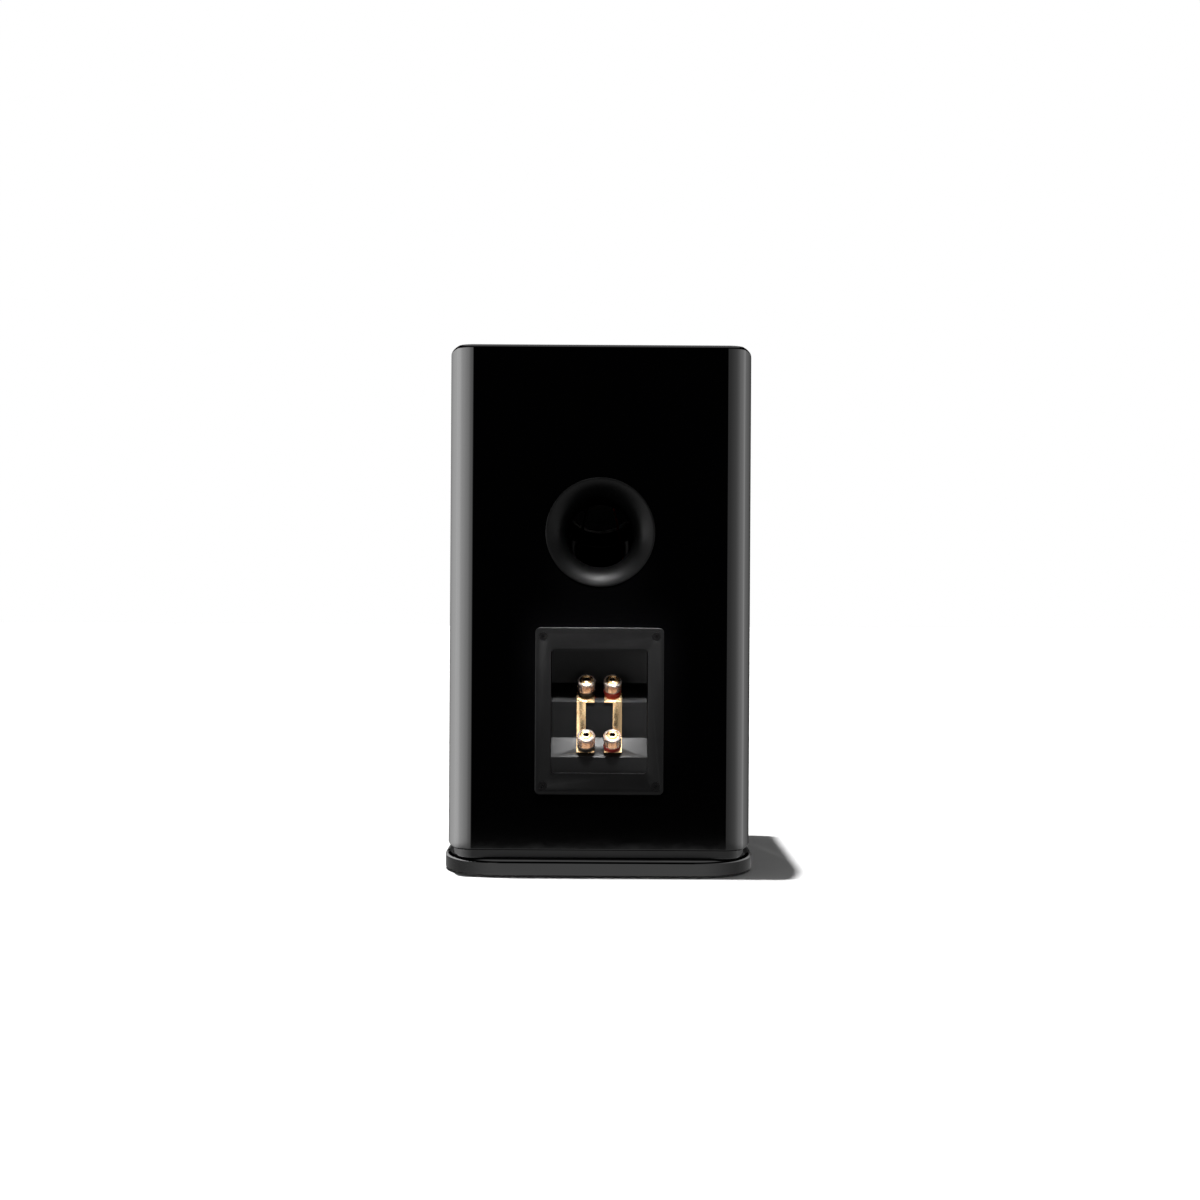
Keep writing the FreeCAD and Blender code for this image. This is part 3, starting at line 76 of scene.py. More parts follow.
nodes = frame["nodes"]
for other in list(bpy.data.objects):
    if other.type in ("LIGHT", "CAMERA") or other.name == "Cube":
        bpy.data.objects.remove(other)

# %% [markdown]
# ## Where things are
#
# A piece goes where its CAD node is, so its place and size are read from the node's box. A round
# piece that faces the listener has a middle, a radius, and a near and a far depth.


# %% Read a round node
def ring_of(name):
    low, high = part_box(name)
    return {
        "x": (low.x + high.x) / 2, "z": (low.z + high.z) / 2, "radius": (high.x - low.x) / 2,
        "near": low.y, "far": high.y,
    }


def islands(name):
    """The boxes of a node's separate solids, as (lowest corner, highest corner)."""
    shape = bmesh.new()
    shape.from_mesh(nodes[name].data)
    bmesh.ops.remove_doubles(shape, verts=shape.verts, dist=1e-6)
    left = set(shape.verts)
    found = []
    while left:
        group = {left.pop()}
        edge = list(group)
        while edge:
            vertex = edge.pop()
            for line in vertex.link_edges:
                other = line.other_vert(vertex)
                if other in left:
                    left.remove(other)
                    group.add(other)
                    edge.append(other)
        low = Vector([min(v.co[axis] for v in group) for axis in range(3)])
        high = Vector([max(v.co[axis] for v in group) for axis in range(3)])
        found.append((low, high))
    shape.free()
    return sorted(found, key=lambda pair: (round(pair[0].x, 4), round(pair[0].z, 4), round(pair[0].y, 4)))


woofer = ring_of("woofer_basket")
tweeter = ring_of("tweeter_faceplate")
baffle_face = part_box("front_baffle")[0].y
back_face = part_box("back_panel")[1].y
print("woofer", woofer, "tweeter", tweeter, "baffle face", baffle_face)

# %% [markdown]
# ## The camera
#
# It stands a metre and a half behind the back, a little above the middle, and looks level. It is
# rolled by a third of a degree, as a camera held in the hand is.

# %% Set up the camera
CAMERA_AWAY = 1.5
CAMERA_HIGH = 0.200
LENS = 62.5
ROLL = math.radians(-0.33)
camera = bpy.data.objects.new("camera", bpy.data.cameras.new("camera"))
camera.data.lens = LENS
camera.data.sensor_width = 36
camera.location = (0.0, back_face + CAMERA_AWAY, CAMERA_HIGH)
camera.rotation_euler = (math.radians(90), ROLL, math.radians(180))
bpy.context.scene.collection.objects.link(camera)
bpy.context.scene.camera = camera
bpy.context.scene.view_settings.view_transform = "Standard"
bpy.context.scene.view_settings.look = "None"
print("camera at", tuple(camera.location))

# %% [markdown]
# ## Shader maths as plain expressions
#
# A finish is a small graph of nodes. It is easier to read as sums, so one class wraps a socket
# and turns `1 - mask * 0.3` into Math nodes, and one method adds any other node.


# %% The socket class and the finish class
class Signal:
    """A number or colour on its way through a finish."""

    def __init__(self, tree, socket):
        self.tree = tree
        self.socket = socket

    def maths(self, operation, first, second=0.0):
        return self.tree.node("Math", {"operation": operation}, {0: first, 1: second})

    def __add__(self, other):
        return self.maths("ADD", self, other)

    def __radd__(self, other):
        return self.maths("ADD", other, self)

    def __sub__(self, other):
        return self.maths("SUBTRACT", self, other)

    def __rsub__(self, other):
        return self.maths("SUBTRACT", other, self)

    def __mul__(self, other):
        return self.maths("MULTIPLY", self, other)

    def __rmul__(self, other):
        return self.maths("MULTIPLY", other, self)

    def __truediv__(self, other):
        return self.maths("DIVIDE", self, other)

    def __gt__(self, other):
        return self.maths("GREATER_THAN", self, other)

    def __abs__(self):
        return self.maths("ABSOLUTE", self)


class Tree:
    """The nodes of one finish, or of the world."""

    def __init__(self, tree):
        self.tree = tree
        self.tree.nodes.clear()

    def node(self, kind, settings=None, sockets=None, output=0):
        made = self.tree.nodes.new("ShaderNode" + kind)
        for key, value in (settings or {}).items():
            if key == "stops":
                self.ramp(made.color_ramp, value)
            else:
                setattr(made, key, value)
        for key, value in (sockets or {}).items():
            if isinstance(value, Signal):
                self.tree.links.new(value.socket, made.inputs[key])
            else:
                made.inputs[key].default_value = value
        if not made.outputs:
            return None
        return Signal(self, made.outputs[output])

    def ramp(self, ramp, stops):
        """Grey levels, each at its place along the ramp."""
        while len(ramp.elements) < len(stops):
            ramp.elements.new(1.0)
        for element, (position, level) in zip(ramp.elements, stops):
            element.position = position
            element.color = (level, level, level, 1)

    def place(self, turn=(0, 0, 0), scale=(1, 1, 1), centre=(0, 0, 0)):
        """The piece's own coordinates, moved so that a centre is at zero, then stretched."""
        at = self.node("TexCoord", output=3)
        moved = self.node("VectorMath", {"operation": "SUBTRACT"}, {0: at, 1: centre})
        return self.node("Mapping", None, {"Vector": moved, "Rotation": turn, "Scale": scale})

    def noise(self, scale, detail=3.0, roughness=0.5, at=None, distortion=0.0):
        return self.node("TexNoise", None, {
            "Vector": at or self.place(), "Scale": scale, "Detail": detail, "Roughness": roughness,
            "Distortion": distortion,
        })

    def cells(self, scale):
        return self.node("TexVoronoi", {"feature": "F1"}, {"Vector": self.place(), "Scale": scale})

    def step(self, signal, low, high, to_low=0.0, to_high=1.0):
        return self.node("MapRange", {"interpolation_type": "SMOOTHSTEP"}, {
            "Value": signal, "From Min": low, "From Max": high, "To Min": to_low, "To Max": to_high,
        })

    def blend(self, factor, first, second):
        """One colour over another, where the factor is 1."""
        first = first if isinstance(first, Signal) else (*first, 1)
        second = second if isinstance(second, Signal) else (*second, 1)
        return self.node("Mix", {"data_type": "RGBA", "blend_type": "MIX"},
                         {0: factor, 6: first, 7: second}, 2)

    def bump(self, height, distance, strength=1.0, under=None):
        sockets = {"Height": height, "Distance": distance, "Strength": strength}
        if under is not None:
            sockets["Normal"] = under
        return self.node("Bump", None, sockets)


finishes = {}


def finish(name, build, **steady):
    """Make a material. What varies over the surface comes from build, the rest is a number."""
    material = bpy.data.materials.new(name)
    material.use_nodes = True
    tree = Tree(material.node_tree)
    sockets = dict(steady)
    sockets.update(build(tree))
    shader = tree.node("BsdfPrincipled", None, sockets)
    tree.node("OutputMaterial", None, {"Surface": shader})
    finishes[name] = material
    return material


# %% [markdown]
# ## Piano lacquer
#
# The cabinet is sprayed, flatted and polished until it mirrors the room. Almost all of its look
# is reflection, so the base is nearly black, and the detail is in how the mirror breaks up: a
# faint orange peel, hairline polishing swirls and a few specks of dust that settled on it. The
# plinth is the same, but the step set back above its board was only flatted, so it stays satin.


# %% Lacquer
def lacquer(tree):
    peel = tree.noise(55, 2.0)
    hairs = tree.noise(900, 4.0, 0.6, tree.place(turn=(0.4, 0.2, 0.7), scale=(1, 0.06, 1)))
    dust = tree.step(tree.cells(420), 0.05, 0.02)
    rare = tree.step(tree.noise(60, 1.0), 0.60, 0.70)
    specks = dust * rare
    return {
        "Base Color": tree.blend(specks * 0.25, (0.0012, 0.0012, 0.0014), (0.05, 0.048, 0.045)),
        "Roughness": 0.020 + hairs * 0.025 + specks * 0.2,
        "Normal": tree.bump(peel, 0.00002, 0.5),
    }


STEP_TALL = 0.0062
SATIN_STARTS = 0.0004
SATIN_FULL = 0.0008
step_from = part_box("plinth")[1].z - STEP_TALL


def base_lacquer(tree):
    """The same lacquer, but the set-back step over the plinth's board is left satin."""
    sockets = lacquer(tree)
    height = tree.node("SeparateXYZ", None, {0: tree.place()}, 2)
    satin = tree.step(height, step_from + SATIN_STARTS, step_from + SATIN_FULL)
    sockets["Roughness"] = sockets["Roughness"] + satin * 0.45
    return sockets


finish("gloss_lacquer", lacquer, IOR=1.5)
finish("plinth_lacquer", base_lacquer, IOR=1.5)
print("finishes:", len(finishes))

# %% [markdown]
# ## Moulded and painted blacks
#
# The terminal cup and the port are moulded in black plastic with a fine spark-eroded grain. That
# grain spreads the light from above, so slopes that face up look grey beside upright walls. Steel
# screws are blackened, and show bright metal only where a driver has rubbed them.


# %% Plastics, rubber and blackened steel
def moulded(tree):
    grain = tree.noise(3200, 3.0, 0.65)
    pits = tree.cells(2100)
    cloud = tree.noise(38, 3.0)
    return {
        "Base Color": tree.blend(tree.step(cloud, 0.35, 0.7),
                                 (0.0026, 0.0026, 0.0027), (0.0040, 0.0040, 0.0042)),
        "Roughness": 0.33 + grain * 0.10 + cloud * 0.04,
        "Normal": tree.bump(pits, 0.00010, 0.35, tree.bump(grain, 0.00006, 0.5)),
    }


def rubber(tree):
    grain = tree.noise(1500, 4.0, 0.6)
    bloom = tree.noise(60, 4.0, 0.6)
    return {
        "Base Color": tree.blend(tree.step(bloom, 0.45, 0.75),
                                 (0.010, 0.010, 0.010), (0.024, 0.023, 0.022)),
        "Roughness": 0.58 + bloom * 0.2,
        "Normal": tree.bump(grain, 0.00006, 0.5),
    }


def black_steel(tree):
    scuff = tree.noise(500, 5.0, 0.7)
    worn = tree.step(scuff, 0.60, 0.72)
    return {
        "Base Color": tree.blend(worn, (0.006, 0.0058, 0.006), (0.09, 0.085, 0.08)),
        "Roughness": 0.42 - worn * 0.12,
        "Normal": tree.bump(scuff, 0.00003, 0.4),
    }


finish("moulded_black", moulded, IOR=1.45, **{"Specular IOR Level": 0.20})
finish("foot_rubber", rubber, IOR=1.45)
finish("blackened_steel", black_steel, Metallic=0.85)
print("finishes:", len(finishes))

# %% [markdown]
# The woofer's frame is an aluminium casting with a powder coat, which dries to a soft pebble. The
# rings that mark the posts are dyed right through, so their colour drifts only a little.


# %% Powder-coated casting and coloured plastics
def cast(tree):
    peel = tree.noise(850, 2.0, 0.5)
    fine = tree.noise(4200, 2.0)
    return {
        "Base Color": tree.blend(peel, (0.012, 0.012, 0.013), (0.020, 0.020, 0.021)),
        "Roughness": 0.42 + fine * 0.12,
        "Normal": tree.bump(peel, 0.00009, 0.5),
    }


def dyed(dark, light):
    def build(tree):
        flow = tree.noise(260, 4.0, 0.55)
        return {
            "Base Color": tree.blend(flow, dark, light),
            "Roughness": 0.26 + flow * 0.14,
            "Normal": tree.bump(tree.noise(2600, 2.0), 0.00002, 0.4),
        }
    return build


finish("cast_frame", cast)
finish("red_plastic", dyed((0.34, 0.012, 0.010), (0.52, 0.030, 0.022)),
       **{"Subsurface Weight": 0.1, "Subsurface Scale": 0.001})
finish("black_plastic", dyed((0.010, 0.008, 0.007), (0.022, 0.018, 0.016)))
print("finishes:", len(finishes))

# %% [markdown]
# ## Gold plate and clear plastic
#
# Posts and links are brass with a thin gold flash. Turned pieces carry fine rings from the lathe
# and the links a drawn grain, with small dull patches from handling. Where a face carries the
# socket attribute, the plate is painted dark, as painted shade inside the sockets. The knobs'
# sleeves are clear with a faint pink cast, so the gold core shows through them.


# %% Gold and clear plastic
def gold(tree):
    drawn = tree.noise(2600, 3.0, 0.5, tree.place(scale=(1, 0.08, 0.08)))
    touch = tree.step(tree.noise(240, 4.0, 0.6), 0.45, 0.75)
    # The socket faces are painted a dark brown, as painted shade inside the sockets.
    bore = tree.node("Attribute", {"attribute_name": "bore"}, output=2)
    plated = tree.blend(touch, (1.0, 0.70, 0.38), (0.90, 0.56, 0.27))
    return {
        "Base Color": tree.blend(bore, plated, (0.10, 0.055, 0.025)),
        "Roughness": 0.17 + drawn * 0.10 + touch * 0.12,
        "Normal": tree.bump(drawn, 0.000015, 0.35),
    }


def clear(tree):
    flow = tree.noise(300, 3.0)
    return {
        "Base Color": tree.blend(flow, (1.0, 0.90, 0.85), (0.98, 0.84, 0.78)),
        "Roughness": 0.14 + flow * 0.08,
        "Normal": tree.bump(flow, 0.00004, 0.3),
    }


finish("gold_plate", gold, Metallic=1.0)
finish("clear_plastic", clear, IOR=1.46, **{"Transmission Weight": 0.85})
print("finishes:", len(finishes))

# %% [markdown]
# ## Cone, surround, spider and dome
#
# A cone is pressed from paper pulp, so it has short fibres that lie every way. Its surround is a
# smooth rubber roll. The spider is woven cotton stiffened with resin, and the dome is silk.


# %% Driver finishes
def pulp(tree):
    fibre = tree.noise(1300, 6.0, 0.72, distortion=1.6)
    clump = tree.noise(150, 4.0, 0.6)
    return {
        "Base Color": tree.blend(tree.step(fibre * 0.6 + clump * 0.4, 0.35, 0.7),
                                 (0.020, 0.021, 0.023), (0.060, 0.061, 0.064)),
        "Roughness": 0.62 + clump * 0.2,
        "Normal": tree.bump(fibre, 0.00018, 0.6),
    }


def roll_rubber(tree):
    skin = tree.noise(2400, 3.0, 0.6)
    bloom = tree.noise(45, 3.0)
    return {
        "Base Color": tree.blend(bloom, (0.010, 0.010, 0.011), (0.019, 0.019, 0.020)),
        "Roughness": 0.40 + bloom * 0.16,
        "Normal": tree.bump(skin, 0.00004, 0.4),
    }


def weave(dark, light, pitch, depth):
    """Two sets of threads across each other, in the plane that faces the listener."""
    def build(tree):
        across = tree.node("TexWave", {"wave_type": "BANDS", "bands_direction": "X"},
                           {"Vector": tree.place(), "Scale": pitch, "Distortion": 0.6, "Detail": 1.0}, 1)
        up = tree.node("TexWave", {"wave_type": "BANDS", "bands_direction": "Z"},
                       {"Vector": tree.place(), "Scale": pitch, "Distortion": 0.6, "Detail": 1.0}, 1)
        cloth = across * 0.5 + up * 0.5
        return {
            "Base Color": tree.blend(cloth, dark, light),
            "Roughness": 0.75 - cloth * 0.2,
            "Normal": tree.bump(cloth, depth, 0.6),
        }
    return build


finish("cone_paper", pulp)
finish("surround_rubber", roll_rubber)
finish("spider_cloth", weave((0.30, 0.17, 0.055), (0.55, 0.36, 0.15), 300, 0.0003))
finish("dome_silk", weave((0.022, 0.022, 0.024), (0.075, 0.074, 0.078), 620, 0.00012))
print("finishes:", len(finishes))

# %% [markdown]
# ## The inside
#
# A magnet is a ring of sintered ferrite between two zinc-plated plates. Their zinc is dark, partly
# as a dark plating and partly as painted shade, so the inside seen through the port stays black.
# A coil is enamelled wire, so its finish is bright bands one wire apart, painted highlights along
# the turns with painted shade between them, and the real turns are modelled further down.


# %% Metals and ferrite inside
def plated(tree):
    spangle = tree.cells(160)
    brushed = tree.noise(1200, 3.0, 0.6, tree.place(scale=(1, 0.1, 1)))
    return {
        # The zinc is a dark plating, kept darker still as painted shade for the inside of the cabinet.
        "Base Color": tree.blend(spangle, (0.16, 0.157, 0.15), (0.26, 0.255, 0.24)),
        "Roughness": 0.28 + brushed * 0.2,
        "Normal": tree.bump(brushed, 0.00003, 0.4),
    }


def sintered(tree):
    grain = tree.noise(1800, 5.0, 0.7)
    return {
        "Base Color": tree.blend(grain, (0.020, 0.020, 0.022), (0.050, 0.049, 0.050)),
        "Roughness": 0.62 + grain * 0.2,
        "Normal": tree.bump(grain, 0.00012, 0.6),
    }


def wound(dark, light, pitch, direction):
    """Enamelled wire: bright bands a wire apart, painted highlights along the turns with painted shade
    between them.
    """
    def build(tree):
        turns = tree.node("TexWave", {"wave_type": "BANDS", "bands_direction": direction},
                          {"Vector": tree.place(), "Scale": pitch, "Distortion": 0.1}, 1)
        tarnish_and_socket_shade = tree.noise(300, 4.0)
        return {
            # The bands are painted highlights along the turns with painted shade between them, mixed with
            # random tarnish.
            "Base Color": tree.blend(turns * 0.6 + tarnish_and_socket_shade * 0.4, dark, light),
            "Roughness": 0.22 + tarnish_and_socket_shade * 0.15,
            "Normal": tree.bump(turns, 0.00015, 0.6),
        }
    return build


finish("plated_steel", plated, Metallic=1.0)
finish("ferrite", sintered)
finish("copper_wire", wound((0.60, 0.22, 0.10), (0.90, 0.44, 0.24), 20, "Z"), Metallic=0.9)
finish("coil_former", wound((0.55, 0.24, 0.10), (0.85, 0.55, 0.30), 700, "Y"), Metallic=0.8)
print("finishes:", len(finishes))

# %% [markdown]
# The brace is bare fibreboard with its chips showing, and the wadding is polyester fleece. On the
# crossover board the copper tracks show through a green resist. Its parts are dipped in resin or
# fired in clay.


# %% Board, wadding, crossover parts and wires
def fibreboard(tree):
    chips = tree.noise(700, 6.0, 0.7, tree.place(scale=(1, 1, 0.5)))
    blotch = tree.noise(40, 3.0)
    return {
        "Base Color": tree.blend(chips * 0.7 + blotch * 0.3, (0.17, 0.10, 0.052), (0.36, 0.24, 0.14)),
        "Roughness": 0.82 + chips * 0.1,
        "Normal": tree.bump(chips, 0.0002, 0.6),
    }


def fleece(tree):
    fibre = tree.noise(600, 8.0, 0.8, distortion=2.5)
    return {
        "Base Color": tree.blend(fibre, (0.55, 0.54, 0.51), (0.86, 0.85, 0.82)),
        "Roughness": 0.9 + fibre * 0.1,
        "Normal": tree.bump(fibre, 0.0012, 0.9),
    }


def circuit(tree):
    tracks = tree.node("TexBrick", {"offset": 0.35, "squash": 1.6}, {
        "Vector": tree.place(), "Scale": 28.0, "Mortar Size": 0.05, "Mortar Smooth": 0.1,
        "Color1": (0.006, 0.055, 0.020, 1), "Color2": (0.008, 0.075, 0.026, 1),
        "Mortar": (0.02, 0.19, 0.07, 1),
    })
    resist = tree.noise(900, 3.0)
    return {
        "Base Color": tree.blend(resist * 0.25, tracks, (0.004, 0.03, 0.012)),
        "Roughness": 0.24 + resist * 0.2,
        "Normal": tree.bump(resist, 0.00003, 0.4),
    }


def dipped(dark, light, gloss):
    def build(tree):
        flow = tree.noise(220, 4.0, 0.55)
        return {
            "Base Color": tree.blend(flow, dark, light),
            "Roughness": gloss + flow * 0.15,
            "Normal": tree.bump(flow, 0.00010, 0.4),
        }
    return build


def jacket(tree):
    """Red on one side of each pair and black on the other."""
    at = tree.node("SeparateXYZ", None, {0: tree.place()})
    side = at > 0.0
    scuff = tree.noise(700, 4.0)
    return {
        "Base Color": tree.blend(side, (0.42, 0.014, 0.012), (0.012, 0.012, 0.013)),
        "Roughness": 0.34 + scuff * 0.2,
        "Normal": tree.bump(scuff, 0.00004, 0.4),
    }


finish("raw_board", fibreboard)
finish("wadding", fleece)
finish("circuit_board", circuit)
finish("capacitor_film", dipped((0.62, 0.30, 0.02), (0.80, 0.46, 0.05), 0.22))
finish("resistor_ceramic", dipped((0.60, 0.57, 0.50), (0.78, 0.75, 0.69), 0.78))
finish("lead_jacket", jacket)
print("finishes:", sorted(finishes))

# %% [markdown]
# ## Give every node its finish
#
# The record says which slot each node takes its finish from, and a slot has a finish of the
# same name. Only the plinth differs, because its step is satin.

# %% Assign the finishes
for part in frame["record"]["subparts"]:
    slots = nodes[part["node"]].data.materials
    slots.clear()
    slots.append(finishes[part["material_slot"]])
nodes["plinth"].data.materials[0] = finishes["plinth_lacquer"]
print("nodes with a finish:", sum(1 for node in nodes.values() if node.data.materials))

# %% [markdown]
# ## Helpers for new pieces
#
# Round pieces are turned on a lathe: a profile of (radius, depth) points goes round the driver's
# axis. Pieces with hard edges, such as the links, are a copy of their node whose flat faces are
# joined up again and whose edges get a small bevel, because a real edge always catches light.


# %% Turning, softening and finishing
def piece(name, shape, slot, body, *replaced, seam=40):
    """Make a bmesh into an object with a finish that rides on a body."""
    mesh = bpy.data.meshes.new(name)
    shape.to_mesh(mesh)
    shape.free()
    made = bpy.data.objects.new(name, mesh)
    bpy.context.scene.collection.objects.link(made)
    return settle(made, slot, body, *replaced, seam=seam)


def settle(made, slot, body, *replaced, seam=40):
    mesh = made.data
    mesh.materials.clear()
    mesh.materials.append(finishes[slot])
    mesh.polygons.foreach_set("use_smooth", [True] * len(mesh.polygons))
    mesh.set_sharp_from_angle(angle=math.radians(seam))
    if replaced:
        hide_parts(*replaced)
    if body:
        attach(made, body)
    print(made.name, "faces", len(mesh.polygons))
    return made


def lathe(profile, middle, front, turns=128):
    """A closed profile of (radius, depth behind the front) turned round an axis along Y."""
    shape = bmesh.new()
    rows = []
    for radius, depth in profile:
        count = 1 if radius < 1e-6 else turns
        row = []
        for index in range(count):
            angle = 2 * math.pi * index / turns
            x = middle[0] + radius * math.cos(angle)
            z = middle[1] + radius * math.sin(angle)
            row.append(shape.verts.new((x, front + depth, z)))
        rows.append(row)
    for first, second in zip(rows, rows[1:] + rows[:1]):
        if len(first) == 1 and len(second) == 1:
            continue
        for index in range(turns):
            after = (index + 1) % turns
            corners = [first[index % len(first)], first[after % len(first)],
                       second[after % len(second)], second[index % len(second)]]
            shape.faces.new(list(dict.fromkeys(corners)))
    bmesh.ops.recalc_face_normals(shape, faces=shape.faces)
    return shape


def walled(path, thick):
    """A path given a thickness behind it, as a closed profile."""
    behind = []
    for index, (radius, depth) in enumerate(path):
        before = path[max(index - 1, 0)]
        after = path[min(index + 1, len(path) - 1)]
        along = Vector((after[0] - before[0], after[1] - before[1])).normalized()
        behind.append((max(radius - along.y * thick, 0), depth + along.x * thick))
    return list(path) + behind[::-1]


SAME_POINT = 2e-6
FLAT_WITHIN = math.radians(0.6)
HARD_EDGE = math.radians(30)


def soften(node, width, slot):
    """A copy of a node with its triangles joined and its hard edges bevelled."""
    shape = bmesh.new()
    shape.from_mesh(nodes[node].data)
    bmesh.ops.remove_doubles(shape, verts=shape.verts, dist=SAME_POINT)
    bmesh.ops.dissolve_limit(shape, angle_limit=FLAT_WITHIN, verts=shape.verts, edges=shape.edges)
    hard = [edge for edge in shape.edges
            if len(edge.link_faces) == 2 and edge.calc_face_angle(0) > HARD_EDGE]
    bmesh.ops.bevel(shape, geom=hard, offset=width, segments=2, profile=0.5, affect="EDGES",
                    clamp_overlap=True)
    return piece(node + "_finished", shape, slot, frame_body(node), node)


def frame_body(node):
    """The name of the body that a node belongs to."""
    for body, members in frame["record"]["behaviour"]["bodies"].items():
        if node in members:
            return body
    return None


# %% [markdown]
# ## The cup, its links, rings, knobs and studs
#
# These are the parts the eye goes to. The rim of the cup's opening has a small radius that shows
# as one light line, and every gold piece has a broken edge that sparkles.

# %% Break the edges of the cup and the posts
soften("terminal_cup", 0.00035, "moulded_black")
for colour in ("red", "black"):
    soften(f"jumper_{colour}", 0.00018, "gold_plate")
    for height in ("upper", "lower"):
        post = f"{height}_{colour}"
        soften(f"polarity_ring_{post}", 0.00025, f"{colour}_plastic")
        soften(f"knob_core_{post}", 0.00015, "gold_plate")
        soften(f"knob_sleeve_{post}", 0.00012, "clear_plastic")
studs = soften("terminal_studs", 0.00025, "gold_plate")
soften("terminal_nuts", 0.0003, "gold_plate")

# %% [markdown]
# A socket lies in shade inside, so its faces are painted dark, as painted shade. Painting that
# by place would need the slope of every post, so the faces themselves are marked: those that lie
# near a post's axis and below its tip carry a socket attribute, which the gold finish reads.

# %% Paint shade into the plug sockets
POST_AXIS = Vector((0, 1, 1)).normalized()
SOCKET_REACH = 0.0023
TIP_DEPTH = 0.0006
STUD_REACH = 0.004
STUD_LENGTH = 0.03
posts = [(low + high) / 2 for low, high in islands("terminal_studs")]
tip_reach = max((vertex.co - posts[0]).dot(POST_AXIS) for vertex in studs.data.vertices
                if abs(vertex.co.x - posts[0].x) < STUD_REACH
                and (vertex.co - posts[0]).length < STUD_LENGTH)
# This face attribute marks the socket faces that get painted shade.
tarnish_and_socket_shade = studs.data.attributes.new("bore", "FLOAT", "FACE")
for face in studs.data.polygons:
    middle = min(posts, key=lambda post: (post - face.center).length)
    offset = face.center - middle
    along = offset.dot(POST_AXIS)
    across = (offset - POST_AXIS * along).length
    in_socket = across < SOCKET_REACH and along < tip_reach - TIP_DEPTH
    tarnish_and_socket_shade.data[face.index].value = 1.0 if in_socket else 0.0
print("socket faces", sum(1 for value in tarnish_and_socket_shade.data if value.value > 0))

# %% [markdown]
# ## Screws
#
# One countersunk screw is turned with its thread and its cross recess, and Geometry Nodes put a
# copy at every hole, each with its slot at its own angle, as a person leaves them.


# %% One screw
THREAD_PITCH = 0.9
THREAD_CORE = 0.72
SCREW_SIDES = 28
CROSS_SPAN = 1.25
CROSS_ARM = 0.26
CROSS_TAPER = 0.6


def in_scene(name, shape):
    """A bmesh as an object that has neither a finish nor a body yet."""
    mesh = bpy.data.meshes.new(name)
    shape.to_mesh(mesh)
    shape.free()
    made = bpy.data.objects.new(name, mesh)
    bpy.context.scene.collection.objects.link(made)
    return made


def screw_outline(head_radius, head_tall, shank_radius, long):
    """Half the screw's section, as (radius, height) from the middle of the head to the point."""
    pitch = shank_radius * THREAD_PITCH
    outline = [(0.0, 0.0), (head_radius - 0.00015, 0.0), (head_radius, -0.00012),
               (head_radius, -head_tall * 0.22), (shank_radius, -head_tall)]
    depth = -head_tall - pitch
    while depth > -long + 2 * shank_radius:
        outline += [(shank_radius * THREAD_CORE, depth + pitch * 0.3), (shank_radius, depth)]
        depth -= pitch
    return outline + [(shank_radius * 0.6, -long + shank_radius), (0.0, -long)]


def cross_recess(head_radius, head_tall):
    """The two tapered bars that a driver's tip would fill."""
    cross = bmesh.new()
    span = head_radius * CROSS_SPAN
    arm = head_radius * CROSS_ARM
    for wide, tall in ((span, arm), (arm, span)):
        bar = bmesh.ops.create_cube(cross, size=1.0)["verts"]
        bmesh.ops.scale(cross, vec=(wide, tall, head_tall), verts=bar)
        for corner in bar:
            if corner.co.z < 0:
                corner.co.x *= CROSS_TAPER
                corner.co.y *= CROSS_TAPER
    return cross


def screw_object(name, head_radius, head_tall, shank_radius, long):
    """A screw at the origin whose head faces +Z."""
    outline = screw_outline(head_radius, head_tall, shank_radius, long)
    shape = lathe([(radius, -depth) for radius, depth in outline], (0, 0), 0, turns=SCREW_SIDES)
    upright = Matrix.Rotation(math.radians(90), 4, "X").inverted()
    bmesh.ops.transform(shape, matrix=upright, verts=shape.verts)
    blank = in_scene(name, shape)
    cutter = in_scene(name + "_cross", cross_recess(head_radius, head_tall))
    recess = blank.modifiers.new("recess", "BOOLEAN")
    recess.object = cutter
    recess.operation = "DIFFERENCE"
    recess.use_self = True
    flatten(blank)
    bpy.data.objects.remove(cutter)
    return blank


def flatten(made):
    """Keep what the modifiers make as a plain mesh."""
    bpy.context.view_layer.update()
    graph = bpy.context.evaluated_depsgraph_get()
    mesh = bpy.data.meshes.new_from_object(made.evaluated_get(graph))
    made.modifiers.clear()
    made.data = mesh
    return made


# %% [markdown]
# The tree takes points, a screw and a size, turns each copy by the attribute that its point
# carries, makes the copies real and gives them their metal. The same class of tree winds the
# crossover's coils further down.


# %% The tree that sets copies on points
class Plan:
    """A Geometry Nodes tree with named inputs."""

    def __init__(self, name):
        self.tree = bpy.data.node_groups.new(name, "GeometryNodeTree")
        self.tree.interface.new_socket("Geometry", in_out="OUTPUT", socket_type="NodeSocketGeometry")
        self.names = {}
        self.add_input("Geometry", "NodeSocketGeometry")
        self.source = self.tree.nodes.new("NodeGroupInput")

    def add_input(self, name, kind):
        socket = self.tree.interface.new_socket(name, in_out="INPUT", socket_type=kind)
        self.names[name] = socket.identifier

    def node(self, kind, settings=None, sockets=None):
        made = self.tree.nodes.new(kind)
        for key, value in (settings or {}).items():
            setattr(made, key, value)
        for key, value in (sockets or {}).items():
            if isinstance(value, bpy.types.NodeSocket):
                self.tree.links.new(value, made.inputs[key])
            else:
                made.inputs[key].default_value = value
        return made

    def given(self, name):
        return self.source.outputs[name]

    def close(self, geometry):
        real = self.node("GeometryNodeRealizeInstances", None, {0: geometry})
        painted = self.node("GeometryNodeSetMaterial", None,
                            {"Geometry": real.outputs[0], "Material": self.given("Material")})
        self.node("NodeGroupOutput", None, {0: painted.outputs[0]})

    def apply(self, made, **values):
        modifier = made.modifiers.new(self.tree.name, "NODES")
        modifier.node_group = self.tree
        for name, value in values.items():
            modifier[self.names[name.replace("_", " ")]] = value
        return flatten(made)


